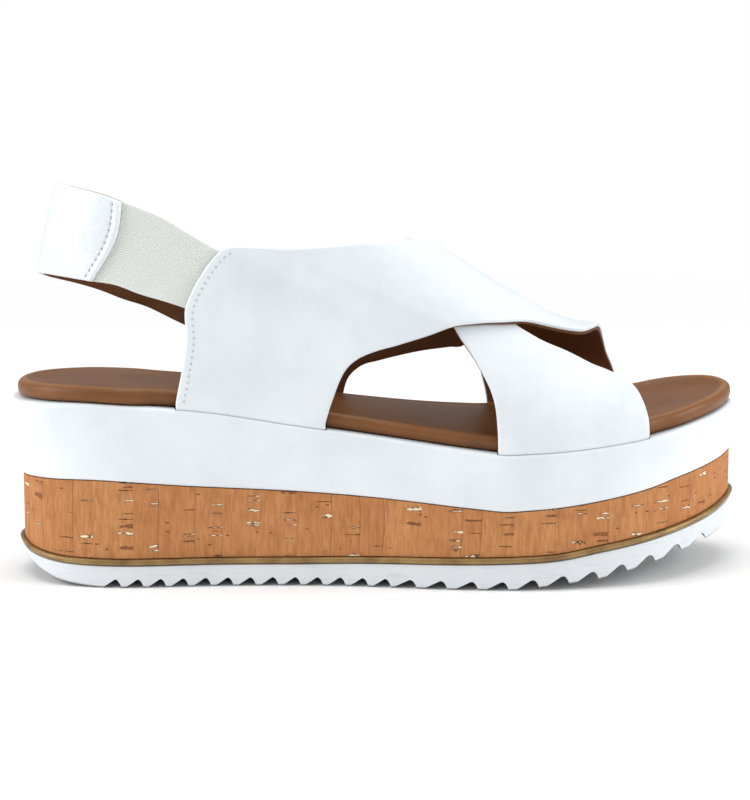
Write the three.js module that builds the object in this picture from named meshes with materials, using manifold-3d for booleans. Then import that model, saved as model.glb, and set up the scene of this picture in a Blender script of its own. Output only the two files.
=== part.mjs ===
// Women's slingback sandal with crossed straps on a platform wedge, right foot.
// Millimetres. +X points to the toe, -Y to the outer side of the foot, +Z up.
// The tread's flat stretch stands on z = 0.

import * as THREE from 'three';
import { mergeVertices } from 'three/addons/utils/BufferGeometryUtils.js';
import Module from 'manifold-3d';

const wasm = await Module();
wasm.setup();

const { lerp, smoothstep } = THREE.MathUtils;

// Overall sizes
const LENGTH = 265.5; // platform, heel end to toe end
const WIDTH = 88; // platform across the ball of the foot
const HEEL_HEIGHT = 66.2; // platform top under the heel
const BALL_HEIGHT = 49; // platform top under the ball
const TOE_LIFT = 10; // rise of the platform top from the ball to the toe end
const HEEL_SPRING = 8.5; // rise of the tread at the heel end
const TOE_SPRING = 15; // rise of the tread at the toe end

// Layers of the sole
const GLUE_GAP = 0.3; // between any two faces that are glued or touch
const OUTSOLE_EDGE = 7.9; // outsole, ground to its top edge, at the waist
const OUTSOLE_PROUD = 0;
const RAND_THICKNESS = 2.1;
const RAND_PROUD = 0.6;
const RAND_WIDTH = 11;
const CORK_THICKNESS = 1.4;
const CORK_SETBACK = 1;
const WRAP_HEEL = 27.5; // height of the leather-covered block at the heel
const WRAP_BALL = 20.8;
const WRAP_TOE = 18;
const WRAP_LEATHER = 1.5;
const WRAP_LEAN = 0.6; // how far the wrap leans out from bottom to top
const HEEL_LEAN = 3; // more lean of the wrap at the heel end
const WRAP_LIP = 11; // leather turned over the block, top and bottom

// Tread: saw teeth across the sole, in two fields with their own pitch
const TOOTH_DEPTH = 3.3;
const TOOTH_DROP = 1.5; // length of a tooth's steep wall
const REAR_TEETH = { from: -94, to: 4, pitch: 8, ramp: 5.6 };
const FRONT_TEETH = { from: 11, to: 121, pitch: 10.8, ramp: 7.4 };

// Straps
const LINING = 1;
const LEATHER = 1.4;
const STRAP_INSET = 3.2; // inner face of the straps from the platform's edge
const BEND_RADIUS = 1.8; // where a strap turns in under the footbed
const BEND_HEIGHT = 2; // start of that turn above the platform top
const TAB_LENGTH = 11; // strap held under the footbed
const THREAD_RADIUS = 0.3;
const SEAM_INSET = 2.8; // stitch line from a leather edge

// Footbed
const FOOTBED_GAP = 0.6; // footbed's side to the straps
const COVER_THICKNESS = 1;
const BOARD_THICKNESS = 1.5;
const FOAM_THICKNESS = 1.3; // under the foot, ahead of the heel cup
const RIM_RISE = 1.1; // of the rim above the dished middle
const HEEL_CUP = 0.8; // deepest point of the heel cup

// Sling
const ELASTIC_THICKNESS = 0.9;
const ELASTIC_OVERLAP = 8; // of the heel leather over the elastic's end
const SLING_LINING = 0.8;
const BAND_CROWN = 0.2; // how far the band bulges between its edges

// Mesh fineness
const OUTLINE_POINTS = 64;
const STRAP_COLUMNS = 7;
const FIRST_ROW = 0.018; // share of a strap's length from its base to the next row

// The curves below are drawn at this size and stretched to LENGTH and WIDTH.
const DRAWN_LENGTH = 265.5;
const DRAWN_WIDTH = 88;
const stretchX = LENGTH / DRAWN_LENGTH;
const stretchY = WIDTH / DRAWN_WIDTH;

// ---------- curves ----------

// Smooth curve of one value through knots, held at its ends.
function smoothThrough(knots, values) {
  const end = knots.length - 1;
  const slope = knots.map((_, i) => {
    const before = Math.max(i - 1, 0);
    const after = Math.min(i + 1, end);
    return (values[after] - values[before]) / (knots[after] - knots[before]);
  });
  return (at) => {
    const k = Math.min(Math.max(at, knots[0]), knots[end]);
    let i = 0;
    while (i < end - 1 && k > knots[i + 1]) i += 1;
    const step = knots[i + 1] - knots[i];
    const t = (k - knots[i]) / step;
    const ease = t * t * (3 - 2 * t);
    return (
      lerp(values[i], values[i + 1], ease) +
      step * (t * (1 - t) ** 2 * slope[i] - t * t * (1 - t) * slope[i + 1])
    );
  };
}

// A height or share along the shoe, from [x, value] points.
function along(points) {
  return smoothThrough(points.map(([x]) => x * stretchX), points.map(([, value]) => value));
}

const drop = along([
  [-130, 0.06], [-122, 0.01], [-100, 0], [-64, 0.163], [-28, 0.483], [8, 0.756], [43, 1], [52, 1], [134, 1],
]);
const lift = along([[-130, 0], [34, 0], [43, 0], [62, 0.08], [80, 0.23], [98, 0.44], [118, 0.78], [134, 1]]);
const wrapShare = along([[-130, -0.13], [-100, 0], [-64, 0.03], [-29, 0.54], [7, 0.87], [42, 1], [134, 1]]);

const platformTop = (x) =>
  lerp(HEEL_HEIGHT, BALL_HEIGHT, drop(x)) + TOE_LIFT * lift(x);
const corkLine = (x) => {
  const toe = (WRAP_BALL - WRAP_TOE) * Math.min(1, 1.8 * lift(x));
  return platformTop(x) - lerp(WRAP_HEEL, WRAP_BALL, wrapShare(x)) + toe;
};
const heelSpring = along([
  [-130, 1], [-126, 0.8], [-122, 0.52], [-114.7, 0.2], [-102, 0.01], [-94, 0], [-86, 0], [134, 0],
]);
const toeSpring = along([
  [-130, 0], [38, 0], [46, 0], [63, 0.12], [77.4, 0.22], [88, 0.35], [98.5, 0.5], [108, 0.64],
  [118, 0.75], [136, 1],
]);
const treadLine = (x) => Math.max(HEEL_SPRING * heelSpring(x) + TOE_SPRING * toeSpring(x), 0);
const edgeRise = along([
  [-134, 5], [-129, 3.3], [-124, 1.6], [-114, 0.4], [-100, 0], [-92, 0], [-38, 0], [-29, 0], [6, 0.8],
  [41, 1.5], [62.5, 2.7], [77, 5], [96, 7.7], [119, 11.7], [138, 16],
]);
const outsoleTop = (x) => OUTSOLE_EDGE + edgeRise(x);
const randBottom = (x) => outsoleTop(x) + GLUE_GAP;
const randTop = (x) => randBottom(x) + RAND_THICKNESS;

// ---------- plan outline ----------

const OUTLINE = [
  [-130, 1], [-126.5, -14], [-115.5, -26], [-95, -32.5], [-55, -32], [-15, -34.5], [30, -43.5],
  [65, -45.5], [97, -37], [120.5, -18.5], [132.7, 2], [135.5, 15], [131, 27.5], [115, 37.5],
  [85, 42.5], [50, 41], [10, 33], [-30, 28.5], [-65, 29.5], [-97, 31.5], [-117.5, 25], [-127, 14],
];
const outlineCurve = new THREE.CatmullRomCurve3(
  OUTLINE.map(([x, y]) => new THREE.Vector3(x * stretchX, y * stretchY, 0)),
  true,
  'centripetal',
);
const lengths = outlineCurve.getLengths(960);
outlineCurve.arcLengthDivisions = 960;
outlineCurve.needsUpdate = true;
const toeShare = lengths[480] / lengths[960]; // the outline starts at the heel, the toe is half way on

// Points round the outline, heel to toe on the outer side and back on the inner side,
// closer together at the ends, each with its outward direction.
function planPoints(count) {
  const half = count / 2;
  return Array.from({ length: count }, (_, i) => {
    const back = i > half;
    const f = (back ? count - i : i) / half;
    const spaced = f - (0.35 * Math.sin(2 * Math.PI * f)) / (2 * Math.PI);
    const share = back ? 1 - (1 - toeShare) * spaced : toeShare * spaced;
    const tangent = outlineCurve.getTangentAt(share % 1);
    return {
      point: outlineCurve.getPointAt(share % 1),
      out: new THREE.Vector3(tangent.y, -tangent.x, 0),
    };
  });
}
const plan = planPoints(OUTLINE_POINTS);

// One ring round the shoe, at an offset outward from the outline and a height. The offset may
// differ along the shoe.
const ring = (offset, height) =>
  plan.map(({ point, out }) => {
    const p = point.clone().addScaledVector(out, typeof offset === 'function' ? offset(point.x) : offset);
    p.z = height(p.x, p.y);
    return p;
  });

// Side lines of the outline at the straps' inner face, as y over x.
const fine = planPoints(400).map(({ point, out }) => point.clone().addScaledVector(out, -STRAP_INSET));
const sideLine = (points) => {
  const xs = points.map((p) => p.x);
  return (x) => {
    let i = 0;
    while (i < xs.length - 2 && x > xs[i + 1]) i += 1;
    return lerp(points[i].y, points[i + 1].y, (x - xs[i]) / (xs[i + 1] - xs[i]));
  };
};
const outerSide = sideLine(fine.slice(0, 201));
const innerSide = sideLine([fine[0], ...fine.slice(201).reverse()]);

// ---------- solids ----------

const toGeometry = (mesh) => {
  const geometry = new THREE.BufferGeometry();
  const { numProp, vertProperties, triVerts } = mesh;
  const position = new Float32Array((vertProperties.length / numProp) * 3);
  for (let i = 0; i < position.length; i += 1) {
    position[i] = vertProperties[Math.floor(i / 3) * numProp + (i % 3)];
  }
  geometry.setAttribute('position', new THREE.BufferAttribute(position, 3));
  geometry.setIndex(new THREE.BufferAttribute(new Uint32Array(triVerts), 1));
  return geometry;
};

const toSolid = (geometry) => {
  const plain = geometry.clone();
  plain.deleteAttribute('normal');
  plain.deleteAttribute('uv');
  const merged = mergeVertices(plain, 1e-4);
  const mesh = new wasm.Mesh({
    numProp: 3,
    vertProperties: new Float32Array(merged.attributes.position.array),
    triVerts: new Uint32Array(merged.index.array),
  });
  return new wasm.Manifold(mesh);
};

const cut = (geometry, ...cutters) => {
  const solid = cutters.reduce((left, cutter) => left.subtract(toSolid(cutter)), toSolid(geometry));
  return toGeometry(solid.getMesh());
};

// Closed geometry from triangles of points, faces turned outward.
function closedGeometry(points, faces) {
  const whole = faces.filter(([a, b, c]) => a !== b && b !== c && c !== a);
  const volume = whole.reduce((sum, [a, b, c]) => {
    const across = points[b].clone().cross(points[c]);
    return sum + points[a].dot(across);
  }, 0);
  const turned = volume < 0 ? whole.map(([a, b, c]) => [a, c, b]) : whole;
  const geometry = new THREE.BufferGeometry();
  geometry.setFromPoints(points);
  geometry.setIndex(turned.flat());
  return geometry;
}

// Walls between rings of equal count, each quad split along its higher diagonal, so that faces
// that lie on each other are split alike. A band closes on its first ring, a plate is capped
// by strips between its outer and inner side.
function ringSolid(rings, isBand) {
  const count = rings[0].length;
  const points = rings.flat();
  const faces = [];
  const split = (a, b, c, d) => {
    if (points[a].z + points[c].z > points[b].z + points[d].z) faces.push([a, b, c], [a, c, d]);
    else faces.push([a, b, d], [b, c, d]);
  };
  const walls = isBand ? rings.length : rings.length - 1;
  for (let r = 0; r < walls; r += 1) {
    const low = r * count;
    const high = ((r + 1) % rings.length) * count;
    for (let i = 0; i < count; i += 1) {
      const j = (i + 1) % count;
      split(low + i, low + j, high + j, high + i);
    }
  }
  if (!isBand) {
    const top = (rings.length - 1) * count;
    for (let i = 0; i < count / 2; i += 1) {
      const a = (count - i) % count;
      const b = count - i - 1;
      split(i, a, b, i + 1);
      split(top + i, top + i + 1, top + b, top + a);
    }
  }
  return closedGeometry(points, faces);
}

// Thin closed solid between two grids of points, rows by columns.
function sheetSolid(inner, outer) {
  const rows = inner.length;
  const columns = inner[0].length;
  const points = [...inner.flat(), ...outer.flat()];
  const at = (r, c, side) => side * rows * columns + r * columns + c;
  const faces = [];
  const quad = (a, b, c, d) => faces.push([a, b, c], [a, c, d]);
  for (let r = 0; r < rows - 1; r += 1) {
    for (let c = 0; c < columns - 1; c += 1) {
      quad(at(r, c, 1), at(r + 1, c, 1), at(r + 1, c + 1, 1), at(r, c + 1, 1));
      quad(at(r, c, 0), at(r, c + 1, 0), at(r + 1, c + 1, 0), at(r + 1, c, 0));
    }
    quad(at(r, 0, 0), at(r + 1, 0, 0), at(r + 1, 0, 1), at(r, 0, 1));
    quad(at(r, columns - 1, 0), at(r, columns - 1, 1), at(r + 1, columns - 1, 1), at(r + 1, columns - 1, 0));
  }
  for (let c = 0; c < columns - 1; c += 1) {
    quad(at(0, c, 0), at(0, c, 1), at(0, c + 1, 1), at(0, c + 1, 0));
    quad(at(rows - 1, c, 0), at(rows - 1, c + 1, 0), at(rows - 1, c + 1, 1), at(rows - 1, c, 1));
  }
  return closedGeometry(points, faces);
}

const evenly = (count, from = 0, to = 1) =>
  Array.from({ length: count + 1 }, (_, i) => lerp(from, to, i / count));

// ---------- sole ----------

// Rings at even steps of offset, so that a face follows its height between them.
const stepped = (from, to, height) =>
  evenly(3, from, to).map((offset) => ring(offset, height));

function treadCutter({ from, to, pitch, ramp }) {
  const teeth = Math.floor((to * stretchX - from * stretchX) / pitch + 1e-6);
  return evenly(teeth, 0, teeth).map((n) => {
    const wall = from * stretchX + n * pitch;
    const start = wall - ramp;
    const end = wall + TOOTH_DROP;
    const shape = new THREE.Shape();
    shape.moveTo(start, treadLine(start) - TOOTH_DEPTH);
    shape.lineTo(end, treadLine(end) - TOOTH_DEPTH);
    shape.lineTo(end, treadLine(end));
    shape.quadraticCurveTo(
      wall + 0.2, treadLine(wall) + 1.35 * TOOTH_DEPTH,
      wall - 0.3 * ramp, treadLine(wall) + 0.8 * TOOTH_DEPTH,
    );
    shape.lineTo(start, treadLine(start));
    const prism = new THREE.ExtrudeGeometry(shape, {
      depth: 1.4 * WIDTH, bevelEnabled: false, curveSegments: 3,
    });
    prism.rotateX(Math.PI / 2);
    prism.translate(0, 0.7 * WIDTH, 0);
    return prism;
  });
}

function outsole() {
  const blank = ringSolid([
    ring(OUTSOLE_PROUD - 1.2, treadLine),
    ring(OUTSOLE_PROUD, (x) => treadLine(x) + 1),
    ...stepped(OUTSOLE_PROUD, RAND_PROUD - RAND_WIDTH, outsoleTop),
  ]);
  return cut(blank, ...treadCutter(REAR_TEETH), ...treadCutter(FRONT_TEETH));
}

function rand() {
  const inside = RAND_PROUD - RAND_WIDTH;
  return ringSolid([
    ...stepped(inside, RAND_PROUD - 0.8, randBottom),
    ring(RAND_PROUD, (x) => (randBottom(x) + randTop(x)) / 2),
    ...stepped(RAND_PROUD - 0.8, inside, randTop),
  ], true);
}

const coreTop = (x) => corkLine(x) - GLUE_GAP / 2;
const coreBottom = (x) => randTop(x) + GLUE_GAP;

function wedgeCore() {
  const inRand = RAND_PROUD - RAND_WIDTH - GLUE_GAP;
  const inCork = -CORK_SETBACK - CORK_THICKNESS - GLUE_GAP;
  return ringSolid([
    ring(inRand, randBottom),
    ...stepped(inRand, inCork, coreBottom),
    ...stepped(inCork, -WRAP_LIP - GLUE_GAP, coreTop),
  ]);
}

function corkWrap() {
  const inside = -CORK_SETBACK - CORK_THICKNESS;
  return ringSolid([
    ring(inside, coreBottom),
    ring(-CORK_SETBACK, coreBottom),
    ring(-CORK_SETBACK, coreTop),
    ring(inside, coreTop),
  ], true);
}

const heelLean = along([
  [-130, HEEL_LEAN], [-121, 0.75 * HEEL_LEAN], [-108, 0.25 * HEEL_LEAN], [-94, 0], [134, 0],
]);
const leaning = (offset) => (x) => offset + heelLean(x);
const blockBottom = (x) => corkLine(x) + GLUE_GAP / 2;
const above = (base, height) => (x, y) => base(x, y) + height;

function platformWrap() {
  const wall = -WRAP_LEAN - WRAP_LEATHER;
  return cut(ringSolid([
    ...stepped(-WRAP_LIP, -WRAP_LEAN - 0.9, blockBottom),
    ring(-WRAP_LEAN, above(blockBottom, 0.9)),
    ring(leaning(0), above(platformTop, -1.5)),
    ring(leaning(-0.5), above(platformTop, -0.4)),
    ring(leaning(-1.5), platformTop),
    ring(-WRAP_LIP, platformTop),
    ring(-WRAP_LIP, above(platformTop, -WRAP_LEATHER)),
    ring(leaning(wall), above(platformTop, -WRAP_LEATHER)),
    ring(wall, above(blockBottom, WRAP_LEATHER)),
    ring(-WRAP_LIP, above(blockBottom, WRAP_LEATHER)),
  ], true), ...tabCutters());
}

function platformCore() {
  const side = -WRAP_LEAN - WRAP_LEATHER - GLUE_GAP;
  const inLip = -WRAP_LIP - GLUE_GAP;
  const shelf = WRAP_LEATHER + GLUE_GAP;
  return cut(ringSolid([
    ring(inLip, blockBottom),
    ring(inLip, above(blockBottom, shelf)),
    ring(side, above(blockBottom, shelf)),
    ring(leaning(side), above(platformTop, -shelf)),
    ring(inLip, above(platformTop, -shelf)),
    ring(inLip, platformTop),
  ]), ...tabCutters());
}

// ---------- footbed ----------

const seat = BEND_HEIGHT - BEND_RADIUS + GLUE_GAP; // footbed's underside above the platform top
const bedSide = -STRAP_INSET - FOOTBED_GAP;
const foamBottom = BOARD_THICKNESS + GLUE_GAP;
const rimHeight = foamBottom + FOAM_THICKNESS + GLUE_GAP + COVER_THICKNESS + RIM_RISE;
const heelCup = along([[-130, 0.4], [-95, 1], [-60, 0.7], [-20, 0.1], [134, 0.1]]);
const innerRim = along([[-130, -2.2], [-95, -2.5], [-60, -2], [0, -1.3], [40, -0.4], [70, 0.6], [134, 2.2]]);
const rimDrop = along([[-60, 0], [-20, 0.3], [15, 0.7], [40, 0.5], [70, 0], [134, 0]]);

// How far the footbed reaches out over the platform, behind and ahead of the straps.
const bedReach = along([
  [-134, 4.4], [-124, 3.8], [-112, 3.1], [-88, 2.8], [-81, 0.3], [-78, 0], [98, 0], [104, 0.3],
  [110, 1.6], [122, 2.5], [137, 2.8],
]);
const bedRing = (offset, height) => ring((x) => offset + bedReach(x), height);

// Height above the seat: the rim is lower or higher on the inner side and lower at the arch,
// and the bed is dished inside it.
const bedHeight = (rise, dish = 0) => (x, y) => {
  const share = Math.max(rise - foamBottom, 0) / (rimHeight - foamBottom);
  const rim = innerRim(x) * smoothstep(y, 0, WIDTH / 2) - rimDrop(x);
  const sunk = dish * (RIM_RISE + HEEL_CUP * heelCup(x));
  return platformTop(x) + seat + rise + share * rim * (1 - dish) - sunk;
};

function insoleBoard() {
  const side = bedSide - COVER_THICKNESS - 1.6;
  return ringSolid([ring(side, bedHeight(0)), ring(side, above(bedHeight(0), BOARD_THICKNESS))]);
}

function footbedFoam() {
  const side = bedSide - COVER_THICKNESS - GLUE_GAP;
  const top = rimHeight - COVER_THICKNESS - GLUE_GAP;
  return ringSolid([
    bedRing(side - 0.5, bedHeight(foamBottom)),
    bedRing(side - 0.1, bedHeight(foamBottom + 0.7)),
    bedRing(side - 0.5, bedHeight(top - 0.9)),
    bedRing(side - 1.2, bedHeight(top - 0.25)),
    bedRing(side - 2.4, bedHeight(top)),
    bedRing(side - 4.2, bedHeight(top - 0.55)),
    bedRing(side - 9, bedHeight(top, 1)),
  ]);
}

function footbedCover() {
  const under = bedSide - COVER_THICKNESS;
  const top = rimHeight - COVER_THICKNESS;
  return ringSolid([
    bedRing(under - 9.3, bedHeight(top, 1)),
    bedRing(under - 4.5, bedHeight(top - 0.5)),
    bedRing(under - 2.5, bedHeight(top)),
    bedRing(under - 1.1, bedHeight(top - 0.2)),
    bedRing(under - 0.3, bedHeight(top - 1)),
    bedRing(under, bedHeight(foamBottom + 0.4)),
    bedRing(under - 1.3, bedHeight(0)),
    bedRing(bedSide - 1.3, bedHeight(0)),
    bedRing(bedSide - 0.3, bedHeight(0.9)),
    bedRing(bedSide, bedHeight(2)),
    bedRing(bedSide - 0.3, bedHeight(rimHeight - 1.5)),
    bedRing(bedSide - 1.1, bedHeight(rimHeight - 0.4)),
    bedRing(bedSide - 2.4, bedHeight(rimHeight)),
    bedRing(bedSide - 5, bedHeight(rimHeight - 0.5)),
    bedRing(bedSide - 10.3, bedHeight(rimHeight, 1)),
  ]);
}

// ---------- foot straps ----------

// The straps lie on the shape of a foot: over it at x, s runs from 0 on the outer side,
// over the ridge of the instep at 0.5, to 1 on the inner side.
const instep = along([
  [-90, 150], [-56, 117], [-30, 94], [0, 73.6], [20, 60.5], [30, 55.1], [38, 50.8], [48, 45.4],
  [59, 38.2], [67, 33.9], [75, 30.6], [81, 29.3], [95, 25], [110, 21],
]);
const ridgeShift = along([[-90, 0], [-30, 0], [20, 2], [60, 4], [110, 4]]);
const strapBase = above(platformTop, BEND_HEIGHT);

function footSurface(x, s) {
  const angle = Math.PI * s;
  const middle = (outerSide(x) + innerSide(x)) / 2;
  const half = (innerSide(x) - outerSide(x)) / 2;
  const around = Math.sign(Math.cos(angle)) * Math.abs(Math.cos(angle)) ** 0.86;
  const up = Math.max(Math.sin(angle), 0) ** 0.9;
  return new THREE.Vector3(
    x,
    middle - half * around + ridgeShift(x) * Math.sin(angle),
    strapBase(x) + instep(x) * up,
  );
}

// Outward direction of the foot shape, level along its base.
function footNormal(x, s) {
  const ahead = footSurface(x + 0.2, s).sub(footSurface(x - 0.2, s));
  if (s < 0.004 || s > 0.996) {
    const side = s < 0.5 ? 1 : -1;
    return new THREE.Vector3(ahead.y, -ahead.x, 0).multiplyScalar(side).normalize();
  }
  const up = footSurface(x, s + 0.001).sub(footSurface(x, s - 0.001));
  return ahead.cross(up).normalize();
}

const onFoot = (x, s, offset) =>
  footSurface(x, s).addScaledVector(footNormal(x, s), offset);

// Below its base a strap bends in under the footbed: first the bend, then a level run.
function onTab(x, s, offset, bend, run) {
  const radius = BEND_RADIUS + offset;
  const inward = BEND_RADIUS - radius * Math.cos(bend) + run;
  const p = footSurface(x, s).addScaledVector(footNormal(x, s), -inward);
  p.z = lerp(strapBase(x), strapBase(p.x), Math.sin(bend)) - radius * Math.sin(bend);
  return p;
}

// A strap's edge through [x, s] points, with a corner between its runs.
// Returns the place at a share v of its length, and the share at the corner.
function strapEdge(...runs) {
  let total = 0;
  const measured = runs.map((points) =>
    points.map(([x, s], i) => {
      if (i > 0) {
        const [px, ps] = points[i - 1];
        total += footSurface(x * stretchX, s).distanceTo(footSurface(px * stretchX, ps));
      }
      return { at: total, x: x * stretchX, s };
    }));
  const curves = measured.map((knots) => {
    const shares = knots.map((knot) => knot.at / total);
    return {
      end: shares[shares.length - 1],
      x: smoothThrough(shares, knots.map((knot) => knot.x)),
      s: smoothThrough(shares, knots.map((knot) => knot.s)),
    };
  });
  return {
    corner: curves[0].end,
    at: (v) => {
      const curve = curves.find(({ end }) => v <= end + 1e-9) ?? curves[curves.length - 1];
      return { x: curve.x(v), s: curve.s(v) };
    },
  };
}

const overStrap = {
  rear: strapEdge(
    [[-72.6, 0], [-70.6, 0.019], [-68.7, 0.047], [-69, 0.071], [-66.8, 0.088], [-64.3, 0.103],
      [-60.8, 0.122], [-56.4, 0.143], [-53.8, 0.152]],
    [[-53.8, 0.152], [-35.7, 0.191], [-21.8, 0.231], [-8.1, 0.281], [2.8, 0.337], [13.5, 0.43],
      [22.5, 0.575], [32.5, 0.74], [41, 0.86], [45, 0.95], [46, 1]],
  ),
  front: strapEdge(
    [[-19.4, 0], [-16.6, 0.028], [-12.7, 0.064], [-8.4, 0.086], [-1.3, 0.11], [6.4, 0.135],
      [16.4, 0.176], [25, 0.218], [32.4, 0.249], [43.1, 0.297], [54.6, 0.352], [62, 0.382],
      [68.5, 0.405], [74, 0.43], [79, 0.47], [83, 0.54], [86.3, 0.635], [89, 0.73], [91.3, 0.807],
      [93.8, 0.863], [95.1, 0.904], [96.5, 1]],
  ),
  raise: (v) =>
    (LINING + LEATHER + 3 * GLUE_GAP) * smoothstep(v, 0.25, 0.34) * (1 - smoothstep(v, 0.9, 1)),
};

const underStrap = {
  rear: strapEdge(
    [[41, 0], [40.9, 0.022], [40, 0.077], [38.4, 0.111], [35.5, 0.144], [31.8, 0.179], [26.5, 0.22],
      [21, 0.3], [17, 0.41], [13.5, 0.53], [8.5, 0.64], [0.6, 0.702], [-10.1, 0.753], [-21.5, 0.794],
      [-32.8, 0.826], [-44, 0.852], [-55.5, 0.876]],
    [[-55.5, 0.876], [-62, 0.901], [-65.6, 0.926], [-67.5, 0.953], [-69.1, 0.979], [-70.2, 1]],
  ),
  front: strapEdge(
    [[94.9, 0], [94.7, 0.046], [93.4, 0.106], [91.6, 0.159], [89.5, 0.192], [86.8, 0.215],
      [79.2, 0.257], [67.5, 0.307], [55.5, 0.313], [48.5, 0.327], [43.5, 0.41], [42, 0.56], [40, 0.7],
      [36.4, 0.851], [30.6, 0.871], [22.1, 0.893], [11.3, 0.921], [3.1, 0.94], [-1.9, 0.95],
      [-5.9, 0.963], [-8.6, 0.977], [-10.5, 1]],
  ),
  raise: () => 0,
};

const BENDS = [Math.PI / 2, Math.PI / 3, Math.PI / 6]; // steps of the turn, from the tab upward

// Rows of points over a whole strap at an offset from the foot, tab to tab.
function strapRows(strap, offset, trim = 0) {
  const corner = strap.rear.corner;
  const early = Math.max(Math.round(corner * 24), 3);
  const shares = [
    0, FIRST_ROW, ...evenly(early, 0, corner).slice(1),
    ...evenly(24 - early, corner, 1).slice(1, -1), 1 - FIRST_ROW, 1,
  ];
  const across = evenly(STRAP_COLUMNS, trim, 1 - trim);
  const place = (u, v) => {
    const rear = strap.rear.at(v);
    const front = strap.front.at(v);
    return { x: lerp(rear.x, front.x, u), s: lerp(rear.s, front.s, u) };
  };
  const height = typeof offset === 'function' ? offset : () => offset;
  const face = shares.map((v) => across.map((u) => {
    const { x, s } = place(u, v);
    return onFoot(x, s, height(x, s) + strap.raise(v));
  }));
  const tab = (v) => {
    const s = Math.round(v);
    const level = across.map((u) => place(u, v).x);
    return [
      level.map((x) => onTab(x, s, height(x, s), Math.PI / 2, TAB_LENGTH)),
      ...BENDS.map((bend) => level.map((x) => onTab(x, s, height(x, s), bend, 0))),
    ];
  };
  return [...tab(0), ...face, ...tab(1).reverse()];
}

// At the ankle the lining steps inward, to make room for the sling's end.
const slingDip = (x, s) => {
  const under = s < 0.5 ? 1.6 * GLUE_GAP + ELASTIC_THICKNESS : 2 * GLUE_GAP + LEATHER + SLING_LINING;
  const foot = Math.min(s, 1 - s);
  return under * (1 - smoothstep(x, -42 * stretchX, -30 * stretchX)) * smoothstep(foot, 0.002, 0.04);
};

const leatherIn = LINING + GLUE_GAP;
const leatherOut = leatherIn + LEATHER;

const strapLeather = (strap) => sheetSolid(strapRows(strap, leatherIn), strapRows(strap, leatherOut));
const strapLining = (strap) => sheetSolid(
  strapRows(strap, (x, s) => -slingDip(x, s), 0.004),
  strapRows(strap, (x, s) => LINING - slingDip(x, s), 0.004),
);

// Room for the straps' ends in the platform, one cutter for each end.
function tabCutters() {
  const sides = [0, 1];
  return [overStrap, underStrap].flatMap((strap) => sides.map((s) => {
    const rear = strap.rear.at(s).x - GLUE_GAP;
    const front = strap.front.at(s).x + GLUE_GAP;
    const level = evenly(STRAP_COLUMNS, rear, front);
    const rows = (offset) => [
      level.map((x) => onTab(x, s, offset, Math.PI / 2, TAB_LENGTH + GLUE_GAP)),
      ...BENDS.map((bend) => level.map((x) => onTab(x, s, offset, bend, 0))),
      level.map((x) => onTab(x, s, offset, 0, 0)),
    ];
    const top = (row) => row.map((p) => p.clone().setZ(p.z + BEND_HEIGHT));
    const inner = rows(-GLUE_GAP);
    const outer = rows(leatherOut + GLUE_GAP);
    return sheetSolid([...inner, top(inner[4])], [...outer, top(outer[4])]);
  }));
}

// ---------- sling ----------

// Edges of the band round the heel, from under the outer ankle panel, round the heel,
// to under the inner one. Heights are measured from the platform top under the heel.
const bandMiddle = LINING - ELASTIC_THICKNESS / 2;
const onBand = (x, s) => onFoot(x * stretchX, s, bandMiddle);
const free = (x, y, height) =>
  new THREE.Vector3(x * stretchX, y * stretchY, HEEL_HEIGHT + height);

const bandLow = new THREE.CatmullRomCurve3([
  onBand(-58, 0.0698), onBand(-68.8, 0.0728), onBand(-76.3, 0.0728),
  free(-84.7, -28.2, 38.8), free(-93.1, -27, 41.9), free(-102.3, -24, 43.1), free(-112.6, -16.5, 44),
  free(-119.3, -8, 44), free(-121, 0, 43.1), free(-119.8, 7, 41.4), free(-116, 13.5, 39.6),
  free(-109.3, 19, 37.2), free(-101.3, 22.8, 34.2), free(-93, 25, 30.6),
  onBand(-83.8, 0.952), onBand(-69.5, 0.959), onBand(-58, 0.962),
], false, 'centripetal');
const bandHigh = new THREE.CatmullRomCurve3([
  onBand(-46, 0.146), onBand(-56, 0.1425), onBand(-67, 0.1425),
  free(-76, -27, 65.2), free(-89.3, -26, 70.7), free(-98.3, -23, 73.8), free(-105, -18, 75.2),
  free(-111.3, -9, 76), free(-113.4, 0, 75.6), free(-112, 8, 74.2), free(-106.5, 15.5, 71.5),
  free(-98, 21, 67.7), free(-88, 24.5, 63.1), free(-78, 26, 58.5),
  onBand(-67, 0.877), onBand(-58, 0.884), onBand(-47, 0.891),
], false, 'centripetal');
const BACK_POINT = 8; // index of the point at the back of the heel in both lists

// Share of a curve's length at its back point, so that both edges meet the heel together.
function shareAtBack(curve) {
  const parts = curve.points.length - 1;
  const steps = curve.getLengths(parts * 20);
  return steps[BACK_POINT * 20] / steps[parts * 20];
}
const lowBack = shareAtBack(bandLow);
const highBack = shareAtBack(bandHigh);
const shareAlong = (t, back) => (t < 0.5 ? 2 * t * back : back + (2 * t - 1) * (1 - back));

function bandSurface(t, h) {
  const low = bandLow.getPointAt(shareAlong(t, lowBack));
  const high = bandHigh.getPointAt(shareAlong(t, highBack));
  return low.lerp(high, h);
}
const crown = (h) => 4 * BAND_CROWN * h * (1 - h);

function bandPoint(t, h, offset) {
  const before = Math.max(t - 0.002, 0);
  const after = Math.min(t + 0.002, 1);
  const ahead = bandSurface(after, h).sub(bandSurface(before, h));
  const up = bandSurface(t, 1).sub(bandSurface(t, 0));
  const out = up.cross(ahead).normalize();
  return bandSurface(t, h).addScaledVector(out, offset + crown(h));
}

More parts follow.
